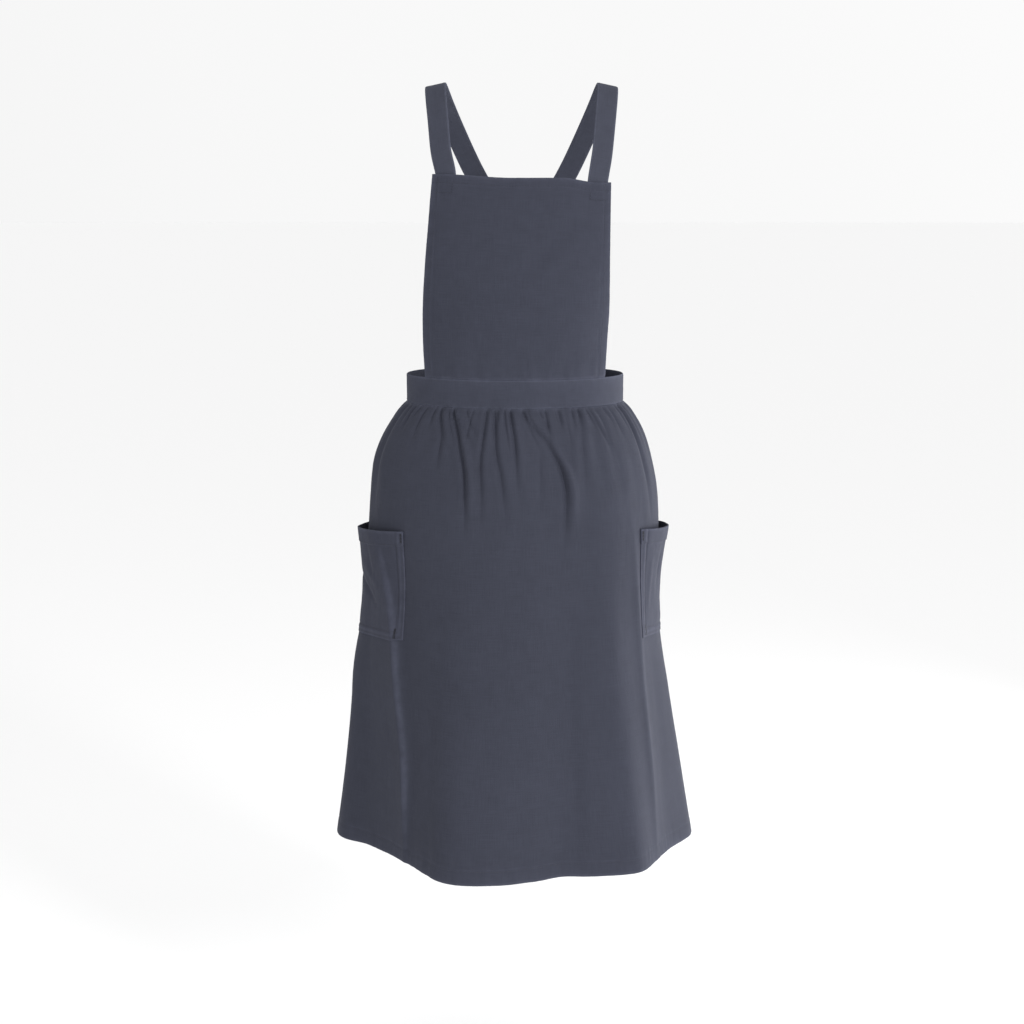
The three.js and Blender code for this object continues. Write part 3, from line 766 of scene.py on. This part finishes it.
strapRun = table(
    "side depth drop roll",
    (0.92, -0.86, 0.38, 17), (0.955, -0.665, 0.215, 15), (0.985, -0.4, 0.09, 13), (1, -0.165, 0.018, 12),
    (1, 0, 0, 12), (0.985, 0.2, 0.016, 12), (0.92, 0.5, 0.105, 10), (0.79, 0.76, 0.26, 6),
    (0.585, 0.92, 0.48, 3), (0.3, 0.985, 0.73, 0), (0, 1, 1, 0), (-0.27, 0.98, 1.26, -3),
    (-0.48, 0.88, 1.45, -8),
)


def turnAbout(vector, axis, degrees):
    axis = unit(axis)
    c, s = math.cos(degrees * deg), math.sin(degrees * deg)
    return vector * c + np.cross(axis, vector) * s + axis * np.dot(axis, vector) * (1 - c)


def smoothLine(stops, steps):
    # a centripetal Catmull-Rom line, stepped evenly by length
    points = np.vstack([2 * stops[0] - stops[1], stops, 2 * stops[-1] - stops[-2]])
    dense, marks = [], []
    for i in range(1, len(points) - 2):
        p0, p1, p2, p3 = points[i - 1:i + 3]
        t1 = np.linalg.norm(p1 - p0) ** 0.5
        t2 = t1 + np.linalg.norm(p2 - p1) ** 0.5
        t3 = t2 + np.linalg.norm(p3 - p2) ** 0.5
        for t in np.linspace(t1, t2, 24, endpoint=False):
            a1 = (t1 - t) / t1 * p0 + t / t1 * p1
            a2 = (t2 - t) / (t2 - t1) * p1 + (t - t1) / (t2 - t1) * p2
            a3 = (t3 - t) / (t3 - t2) * p2 + (t - t2) / (t3 - t2) * p3
            b1 = (t2 - t) / t2 * a1 + t / t2 * a2
            b2 = (t3 - t) / (t3 - t1) * a2 + (t - t1) / (t3 - t1) * a3
            dense.append((t2 - t) / (t2 - t1) * b1 + (t - t1) / (t2 - t1) * b2)
            marks.append(i - 1 + (t - t1) / (t2 - t1))
    dense.append(stops[-1])
    marks.append(len(stops) - 1)
    dense = np.array(dense)
    run = np.concatenate([[0], np.cumsum(np.linalg.norm(np.diff(dense, axis=0), axis=1))])
    even = np.linspace(0, run[-1], steps + 1)
    line = np.stack([np.interp(even, run, dense[:, k]) for k in range(3)], -1)
    return line, np.interp(even, run, marks), even


def seatOn(surface, share, drop, wall):
    # a place just inside a surface, and the way the surface faces there
    tiny = 1e-3
    here = surface(np.array(share), np.array(drop))
    right = surface(np.array(share + tiny), np.array(drop)) - here
    below = surface(np.array(share), np.array(drop + tiny)) - here
    outward = unit(np.cross(below, right))
    flatness = strap["width"] ** 2 / (8 * band["halfWidth"])
    return here - outward * (wall / 2 + cloth["seamGap"] + flatness + strap["wall"] / 2 + 0.2), outward


def bandPlace(share, drop):
    angle = angleAtShare(share) * deg
    return np.stack([cloth["hipShift"] + band["halfWidth"] * np.sin(angle),
                     -cloth["hipForward"] - band["halfDepth"] * np.cos(angle),
                     band["top"] - band["height"] * drop], -1)


def strapShare():
    # where along the band's half a strap is sewn in
    share = 1.0
    while abs(float(bandPlace(share, 0)[0]) - cloth["hipShift"]) < strap["bandReach"] and share > 0.5:
        share -= 0.002
    return share


def makeStrap(side, lift):
    sign = -1 if side == "left" else 1
    stops, facing = [], []
    bibShare = 1 - (strap["inset"] + strap["width"] / 2) / (bib["halfWidth"] * bibShape[0]["width"])
    for tuck in (strap["tuck"], strap["tuck"] / 2, 0):
        place, outward = seatOn(lambda s, d: bibPlace(s, d, True), sign * bibShare, tuck / bib["height"],
                                cloth["hemWall"])
        stops.append(place)
        facing.append(outward)
    for row in strapRun:
        depth = row["depth"] * (strap["chestDepth"] if row["depth"] < 0 else strap["backDepth"])
        away = abs(row["drop"] - 1) * strap["crossingDrop"]
        beside = smoothStep(away, strap["crossingSpan"] / 2, strap["crossingSpan"])
        over = lift * (1 - beside) if row["depth"] > 0 else 0
        stops.append(np.array([sign * strap["spread"] * row["side"], depth + over,
                               -strap["crossingDrop"] * row["drop"] + strap["wall"] / 2]))
        facing.append(sign * row["roll"])
    share = strapShare()
    for tuck in (-strap["bandLead"], strap["bandTuck"] / 2, strap["bandTuck"]):
        place, outward = seatOn(bandPlace, -sign * share, tuck / band["height"], band["wall"])
        stops.append(place)
        facing.append(outward)
    line, marks, run = smoothLine(np.array(stops), strap["steps"])
    tangent = unit(np.gradient(line, axis=0))
    turned = []
    for index, way in enumerate(facing):
        if np.ndim(way) == 0:
            near = tangent[np.argmin(np.abs(marks - index))]
            way = turnAbout(unit(np.cross([1.0, 0, 0], near)), near, way)
        turned.append(way)
    turned = np.array(turned)
    facings = np.stack([np.interp(marks, np.arange(len(turned)), turned[:, k]) for k in range(3)], -1)
    across = unit(np.cross(tangent, facings))
    outward = unit(np.cross(across, tangent))
    middles = np.linspace(0.12, 0.88, strap["across"])
    widths = strap["width"] * (0.5 - np.concatenate([[0, 0.02, 0.06], middles, [0.94, 0.98, 1]]))
    runGrid, widthGrid = np.meshgrid(run, widths, indexing="ij")
    relief = uneven(strap["ripple"], runGrid, widthGrid, 41 + sign)
    relief += uneven(strap["crumple"], runGrid, widthGrid, 43)
    relief *= smoothStep(runGrid, 30, 60) * smoothStep(run[-1] - runGrid, 40, 70)
    places = line[:, None] + across[:, None] * widthGrid[..., None] + outward[:, None] * relief[..., None]
    edge = strap["width"] / 2 - np.abs(widthGrid)
    wall = strap["wall"] - 0.7 * smoothStep(edge, 2.0, 0)
    normals = np.broadcast_to(outward[:, None], places.shape)
    uvs = np.stack([widthGrid, runGrid], -1)
    made = closedSheet("strap_" + side + "_cloth", places, wall, uvs, normals)
    return made, run, widths, places, normals


# Stitches

stitch = {
    "pitch": 3.4,
    "length": 2.5,
    "radius": 0.24,
    "flatness": 0.8,
    "proud": 0.1,
    "sunk": -0.22,        # where a stitch dives into the cloth, and how thin it is there
    "sunkShare": 0.6,
    "sides": 6,
    "tackGap": 0.0026,    # between the rows of a bar tack, as a share of the pocket's width
}


def sampleGrid(places, normals, rowsAt, columnsAt):
    # bilinear reading of a grid at fractional rows and columns
    r = np.clip(rowsAt, 0, places.shape[0] - 1.001)
    c = np.clip(columnsAt, 0, places.shape[1] - 1.001)
    i, j = r.astype(int), c.astype(int)
    fr, fc = (r - i)[:, None], (c - j)[:, None]

    def mix(grid):
        top = grid[i, j] * (1 - fc) + grid[i, j + 1] * fc
        low = grid[i + 1, j] * (1 - fc) + grid[i + 1, j + 1] * fc
        return top * (1 - fr) + low * fr
    return mix(places), unit(mix(normals))


def stitchRow(line, normals, halfWall):
    # each stitch is a small bead along the line, its ends sunk in the cloth
    surface = line + normals * halfWall
    run = np.concatenate([[0], np.cumsum(np.linalg.norm(np.diff(surface, axis=0), axis=1))])
    count = int(run[-1] / stitch["pitch"])
    if count < 1:
        return []
    made = []
    for k in range(count):
        middle = (k + 0.5) * run[-1] / count
        at = middle + stitch["length"] * np.array([-0.5, -0.3, 0.3, 0.5])
        spots = np.stack([np.interp(at, run, surface[:, a]) for a in range(3)], -1)
        up = unit(np.array([np.interp(middle, run, normals[:, a]) for a in range(3)]))
        along = unit(spots[-1] - spots[0])
        side = unit(np.cross(along, up))
        made.append((spots, up, side))
    return made


def makeStitches(name, rows, material):
    vertices, faces = [], []
    sides = stitch["sides"]
    turns = 2 * math.pi * np.arange(sides) / sides
    ring = list(zip(np.cos(turns), np.sin(turns)))
    lifts = (stitch["sunk"], stitch["proud"], stitch["proud"], stitch["sunk"])
    radii = (stitch["sunkShare"], 1, 1, stitch["sunkShare"])
    for row in rows:
        for spots, up, side in row:
            base = len(vertices)
            for spot, lift, size in zip(spots, lifts, radii):
                for c, s in ring:
                    radius = stitch["radius"] * size
                    vertices.append(spot + up * (lift + s * radius * stitch["flatness"]) + side * c * radius)
            for part in range(3):
                for k in range(sides):
                    a = base + part * sides + k
                    b = base + part * sides + (k + 1) % sides
                    faces.append([a, b, b + sides, a + sides])
            faces.append([base + k for k in range(sides)][::-1])
            faces.append([base + 3 * sides + k for k in range(sides)])
    made = makeObject(name, np.array(vertices), faces)
    made.data.materials.append(material)
    return made


# Materials

class Wire:
    # a socket that can be used in plain sums
    def __init__(self, nodes, socket):
        self.nodes = nodes
        self.socket = socket

    def sum(self, operation, *values):
        return self.nodes.add("ShaderNodeMath", {"operation": operation}, dict(enumerate(values)))

    def __add__(self, other):
        return self.sum("ADD", self, other)

    def __sub__(self, other):
        return self.sum("SUBTRACT", self, other)

    def __rsub__(self, other):
        return self.sum("SUBTRACT", other, self)

    def __mul__(self, other):
        return self.sum("MULTIPLY", self, other)

    __radd__ = __add__
    __rmul__ = __mul__

    def sine(self):
        return self.sum("SINE", self)

    def size(self):
        return self.sum("ABSOLUTE", self)


class Nodes:
    # the node tree of a material or of the world
    def __init__(self, owner):
        owner.use_nodes = True
        self.tree = owner.node_tree
        self.tree.nodes.clear()

    def add(self, kind, settings, values, output=0):
        made = self.tree.nodes.new(kind)
        for key, setting in settings.items():
            setattr(made, key, setting)
        for key, value in values.items():
            if isinstance(value, Wire):
                self.tree.links.new(value.socket, made.inputs[key])
            else:
                made.inputs[key].default_value = value
        return Wire(self, made.outputs[output]) if made.outputs else made


weave = {
    "pitch": 0.62,       # millimetres between yarns
    "slubLength": 26.0,
    "slubWidth": 0.9,
    "bump": 0.35,
    "bumpDepth": 0.4,
    # how much each layer changes the tone
    "slubDown": 0.4,
    "slubAcross": 0.46,
    "cloud": 0.44,
    "mottle": 0.26,
    "yarn": 0.16,
    # the darkest and lightest yarns, and the pale of the worn places and painted highlights, as shares of
    # the cloth's colour
    "dark": 0.74,
    "light": 1.26,
    "pale": 1.75,
}


def linenCotton(name, colour):
    material = bpy.data.materials.new(name)
    nodes = Nodes(material)
    uv = nodes.add("ShaderNodeUVMap", {"uv_map": "clothMap"}, {})
    x = nodes.add("ShaderNodeSeparateXYZ", {}, {0: uv}, 0)
    y = nodes.add("ShaderNodeSeparateXYZ", {}, {0: uv}, 1)
    turns = math.pi / (weave["pitch"] * mm)
    # warp and weft yarns rise and dip past each other in a plain weave
    warp = (x * turns).sine()
    weft = (y * turns).sine()
    over = warp * weft * 0.5 + 0.5
    yarn = (warp.size() + weft.size()) * 0.5
    long = 1 / (weave["slubLength"] * mm)
    short = 1 / (weave["slubWidth"] * mm)

    def slubs(stretch, start):
        moved = nodes.add("ShaderNodeMapping", {}, {"Vector": uv, "Scale": stretch, "Location": start})
        return nodes.add("ShaderNodeTexNoise", {"noise_dimensions": "2D"},
                         {"Vector": moved, "Scale": 1.0, "Detail": 2.0, "Roughness": 0.5})

    slubDown = slubs((short, long, 1), (3.7, 3.7, 0))
    slubAcross = slubs((long, short, 1), (11.3, 11.3, 0))
    place = nodes.add("ShaderNodeTexCoord", {}, {}, 3)
    cloud = nodes.add("ShaderNodeTexNoise", {"noise_dimensions": "3D"},
                      {"Vector": place, "Scale": 9.0, "Detail": 3.0, "Roughness": 0.6})
    mottle = nodes.add("ShaderNodeTexNoise", {"noise_dimensions": "3D"},
                       {"Vector": place, "Scale": 60.0, "Detail": 2.0, "Roughness": 0.6})
    worn = nodes.add("ShaderNodeAttribute", {"attribute_name": "wearAndHighlight"}, {}, 2)
    tone = (yarn - 0.6) * weave["yarn"] + 0.5
    layers = {"slubDown": slubDown, "slubAcross": slubAcross, "cloud": cloud, "mottle": mottle}
    for name, layer in layers.items():
        tone = tone + (layer - 0.5) * weave[name]

    def mixed(share, low, high):
        blend = {"data_type": "RGBA", "blend_type": "MIX", "clamp_factor": True}
        return nodes.add("ShaderNodeMix", blend, {0: share, 6: low, 7: high}, 2)

    dark, light, pale = [(*(part * weave[key] for part in colour), 1) for key in ("dark", "light", "pale")]
    # pale where the wear attribute says: wear at the hems, and painted highlight on rims, crests and seam
    # beads
    base = mixed(worn * (mottle * 1.2 - 0.1), mixed(tone, dark, light), pale)
    height = over * 0.35 + yarn * 0.3 + slubDown * 0.5 + slubAcross * 0.6
    bump = nodes.add("ShaderNodeBump", {},
                     {"Strength": weave["bump"], "Distance": weave["bumpDepth"] * mm, "Height": height})
    shader = nodes.add("ShaderNodeBsdfPrincipled", {}, {
        "Base Color": base,
        "Roughness": 0.86 + (slubAcross - 0.5) * 0.1,
        "Normal": bump,
        "Specular IOR Level": 0.16,
        "Sheen Weight": 0.03,
        "Sheen Roughness": 0.4,
        "Sheen Tint": (0.75, 0.8, 1.0, 1),
    })
    nodes.add("ShaderNodeOutputMaterial", {}, {"Surface": shader})
    return material


def plainMatte(name, colour, roughness):
    material = bpy.data.materials.new(name)
    nodes = Nodes(material)
    shader = nodes.add("ShaderNodeBsdfPrincipled", {}, {"Base Color": (*colour, 1), "Roughness": roughness})
    nodes.add("ShaderNodeOutputMaterial", {}, {"Surface": shader})
    return material


def dress(piece, material, slot, *nodes):
    piece.data.materials.append(material)
    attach(piece, "root")
    if nodes:
        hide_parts(*nodes)
    return piece


# Camera, lights and floor

studio = {
    "cameraAt": (-0.013, -2.5, -0.1325),
    "cameraDown": 10.38,
    "focalShare": 1.7443,      # focal length as a share of the picture's width
    "floorDrop": 1.42,
    "floorSize": 120,
    "floor": (0.94, 0.94, 0.94),
    "world": 0.94,
    "rightLean": 0.32,         # how much brighter the right side of the studio is than the left
    "topLean": 0.06,
    "lamps": table(
        "name at to size watts",
        ("keyLight", (1.9, 0.7, -0.95), (0.1, 0, -0.95), (0.6, 0.8), 31),
        ("frontLight", (2.0, -2.4, 0.2), (0, 0, -0.75), (0.45, 0.45), 39),
    ),
}


def makeLamp(row):
    data = bpy.data.lights.new(row["name"], "AREA")
    data.shape = "RECTANGLE"
    data.size, data.size_y = row["size"]
    data.energy = row["watts"]
    lamp = bpy.data.objects.new(row["name"], data)
    bpy.context.scene.collection.objects.link(lamp)
    way = np.array(row["to"]) - np.array(row["at"])
    lamp.location = row["at"]
    lamp.visible_camera = False
    lamp.rotation_euler = (math.atan2(math.hypot(way[0], way[1]), -way[2]), 0,
                           math.atan2(way[1], way[0]) - math.pi / 2)


def makeStudio():
    bpy.context.scene.view_settings.view_transform = "Standard"
    data = bpy.data.cameras.new("photoCamera")
    data.sensor_width = 36
    data.lens = 36 * studio["focalShare"]
    camera = bpy.data.objects.new("photoCamera", data)
    bpy.context.scene.collection.objects.link(camera)
    camera.location = studio["cameraAt"]
    camera.rotation_euler = ((90 - studio["cameraDown"]) * deg, 0, 0)
    bpy.context.scene.camera = camera
    bpy.ops.object.select_all(action="DESELECT")
    bpy.ops.mesh.primitive_plane_add(size=studio["floorSize"], location=(0, 0, -studio["floorDrop"]))
    floor = bpy.context.object
    floor.name = "floor"
    floor.data.materials.append(plainMatte("paleFloor", studio["floor"], 0.9))
    # the studio's walls: soft white all round, a little brighter from the right and from above
    world = bpy.data.worlds.new("studioWorld")
    nodes = Nodes(world)
    way = nodes.add("ShaderNodeTexCoord", {}, {}, 0)
    x = nodes.add("ShaderNodeSeparateXYZ", {}, {0: way}, 0)
    z = nodes.add("ShaderNodeSeparateXYZ", {}, {0: way}, 2)
    strength = (x * x.size() * studio["rightLean"] + z * studio["topLean"] + 1) * studio["world"]
    walls = nodes.add("ShaderNodeBackground", {}, {"Color": (1, 1, 1, 1), "Strength": strength})
    nodes.add("ShaderNodeOutputWorld", {}, {"Surface": walls})
    bpy.context.scene.world = world
    for row in studio["lamps"]:
        makeLamp(row)


makeStudio()
print("studio made")

# the pieces are all one cloth; their tones differ only to even out how the lamps light each piece, which is
# painted light and shade
clothColoursWithPaintedShade = {
    "bib_cloth": (0.0405, 0.0435, 0.062),
    "band_cloth": (0.0445, 0.048, 0.068),
    "skirt_cloth": (0.0405, 0.0435, 0.0615),
    "pocket_cloth": (0.0425, 0.0455, 0.065),
    "strap_cloth": (0.0485, 0.052, 0.072),
}
cloths = {name: linenCotton(name, colour) for name, colour in clothColoursWithPaintedShade.items()}
thread = plainMatte("thread", (0.034, 0.037, 0.053), 0.75)
# darker than the other thread, so that the pocket's stitch lines carry painted shade along their grooves
darkThread = plainMatte("darkThread", (0.026, 0.028, 0.041), 0.75)
# near black, so that the bar tacks paint the shade in the pocket's corners
tackThreadWithPaintedShade = plainMatte("tackThreadWithPaintedShade", (0.014, 0.015, 0.024), 0.75)

skirtPiece, skirtGrid, skirtNormals = makeSkirt()
dress(skirtPiece, cloths["skirt_cloth"], "skirt_cloth", "skirt")
print("skirt made", len(skirtPiece.data.polygons))

bibPiece, bibPlaces, bibNormals = makeBib()
dress(bibPiece, cloths["bib_cloth"], "bib_cloth", "bib")
print("bib made", len(bibPiece.data.polygons))

bandPiece, bandPlaces, bandNormals = makeWaistband()
dress(bandPiece, cloths["band_cloth"], "band_cloth", "waistband")
print("waistband made", len(bandPiece.data.polygons))

pocketPieces = {}
for side in ("left", "right"):
    pocketPieces[side] = makePocket(side)
    dress(pocketPieces[side][0], cloths["pocket_cloth"], "pocket_cloth", "pocket_" + side)
print("pockets made")

strapPieces = {}
for side, lift in (("left", strap["wall"] + 0.3), ("right", 0.0)):
    strapPieces[side] = makeStrap(side, lift)
    dress(strapPieces[side][0], cloths["strap_cloth"], "strap_cloth", "strap_" + side)
    print("strap made", side, round(strapPieces[side][1][-1]), "mm long")


def sewer(places, normals, rowMarks, columnMarks):
    # gives a function that sews a row of stitches along a line on a grid, whose marks tell where it runs
    rowOrder, columnOrder = np.argsort(rowMarks), np.argsort(columnMarks)

    def sew(rowsAt, columnsAt, wall):
        r = np.interp(rowsAt, rowMarks[rowOrder], rowOrder)
        c = np.interp(columnsAt, columnMarks[columnOrder], columnOrder)
        line, up = sampleGrid(places, normals, *np.broadcast_arrays(r, c))
        return stitchRow(line, up, wall / 2)
    return sew


def hemStitches():
    sew = sewer(skirtGrid, skirtNormals, skirtDrops(), skirtShares())
    level = 1 - (skirt["hemHeight"] - 2.0) / skirt["length"]
    return [sew(level, np.linspace(-0.976, 0.976, 1500), cloth["hemWall"])]


def bibStitches():
    dropGrid, shareGrid = bibGrid()
    sew = sewer(bibPlaces, bibNormals, dropGrid[:, 0], shareGrid[0])
    wall = cloth["hemWall"]
    side = 1 - (bib["sideHem"] - 1.6) / bib["halfWidth"]
    top = (bib["topHem"] - 1.6) / bib["height"]
    rows = [sew(top, np.linspace(-0.99, 0.99, 400), wall)]
    for edge in (side, -side):
        rows.append(sew(np.linspace(0.004, 0.985, 400), edge, wall))
    # the box of stitches that holds each strap
    outerShare = 1 - (strap["inset"] + 2.5) / bib["halfWidth"]
    innerShare = 1 - (strap["inset"] + strap["width"] - 1.5) / bib["halfWidth"]
    foot = (strap["tuck"] - 2.5) / bib["height"]
    for sign in (-1, 1):
        across = np.linspace(sign * outerShare, sign * innerShare, 60)
        rows.append(sew(foot, across, wall))
        rows.append(sew(np.linspace(0.012, foot, 60), sign * innerShare, wall))
        rows.append(sew(0.012, across, wall))
    return rows


def bandStitches():
    sew = sewer(bandPlaces, bandNormals, bandHeights(), np.linspace(-1, 1, band["columns"] + 1))
    wall = band["wall"]
    inset = 2.6
    low = band["height"] - inset
    rows = [sew(level, np.linspace(-0.992, 0.992, 1200), wall) for level in (inset, low)]
    # the band's two ends, and the box that holds each strap
    middle = strapShare()
    half = (strap["width"] / 2 - 2) / bandHalfRun
    down = np.linspace(inset, low, 60)
    for sign in (-1, 1):
        for share in (1 - inset / bandHalfRun, middle - half, middle + half):
            rows.append(sew(down, sign * share, wall))
        for lean in (half, -half):
            rows.append(sew(down, sign * np.linspace(middle - lean, middle + lean, 60), wall))
    return rows


def strapStitches(side):
    _, runs, widths, places, normals = strapPieces[side]
    along = np.linspace(8, runs[-1] - 8, 900)
    rows = []
    for inset in (2.6 - strap["width"] / 2, strap["width"] / 2 - 2.6):
        for face in (1, -1):
            rows.append(sewer(places, face * normals, runs, widths)(along, inset, strap["wall"]))
    return rows


def pocketStitches(side):
    _, places, normals, acrossGrid, downGrid = pocketPieces[side]
    sew = sewer(places, normals, downGrid[:, 0], acrossGrid[0])
    wall, mouthWall = cloth["wall"], cloth["hemWall"]
    rows = [sew((pocket["hem"] - 1.8) / pocket["height"], np.linspace(0.01, 0.99, 400), mouthWall)]
    for inset in pocket["stitchInsets"]:
        u = inset / pocket["width"]
        v = 1 - inset / pocket["height"]
        for edge in (u, 1 - u):
            rows.append(sew(np.linspace(0.01, v, 300), edge, wall))
        rows.append(sew(v, np.linspace(u, 1 - u, 400), wall))
    # bar tacks: close rows of thread at the mouth's two corners and at the foot of the front seam
    tacks = []
    inset = pocket["stitchInsets"][1] / pocket["width"]
    for first, last, u, tackWall in ((0.012, 0.1, 0.014, mouthWall), (0.012, 0.1, 0.982, mouthWall),
                                     (0.888, 0.978, inset, wall)):
        # each row runs twice, half a stitch apart, so that the thread covers the cloth
        for step in range(-2, 3):
            for start in (0, stitch["pitch"] / 2 / pocket["height"]):
                line = np.linspace(first + start, last + start, 20)
                tacks.append(sew(line, u + stitch["tackGap"] * step, tackWall + 0.1))
    return rows, tacks


leftRows, leftTacks = pocketStitches("left")
rightRows, rightTacks = pocketStitches("right")
stitchSets = {
    "skirt_stitches": (hemStitches(), thread, "skirt_cloth"),
    "bib_stitches": (bibStitches(), thread, "bib_cloth"),
    "waistband_stitches": (bandStitches(), thread, "band_cloth"),
    "pocket_left_stitches": (leftRows, darkThread, "pocket_cloth"),
    "pocket_right_stitches": (rightRows, darkThread, "pocket_cloth"),
    "pocket_left_tacks": (leftTacks, tackThreadWithPaintedShade, "pocket_cloth"),
    "pocket_right_tacks": (rightTacks, tackThreadWithPaintedShade, "pocket_cloth"),
    "strap_left_stitches": (strapStitches("left"), thread, "strap_cloth"),
    "strap_right_stitches": (strapStitches("right"), thread, "strap_cloth"),
}
for name, (rows, sewing, slotName) in stitchSets.items():
    made = makeStitches(name, rows, sewing)
    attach(made, "root")
    print(name, sum(len(row) for row in rows))
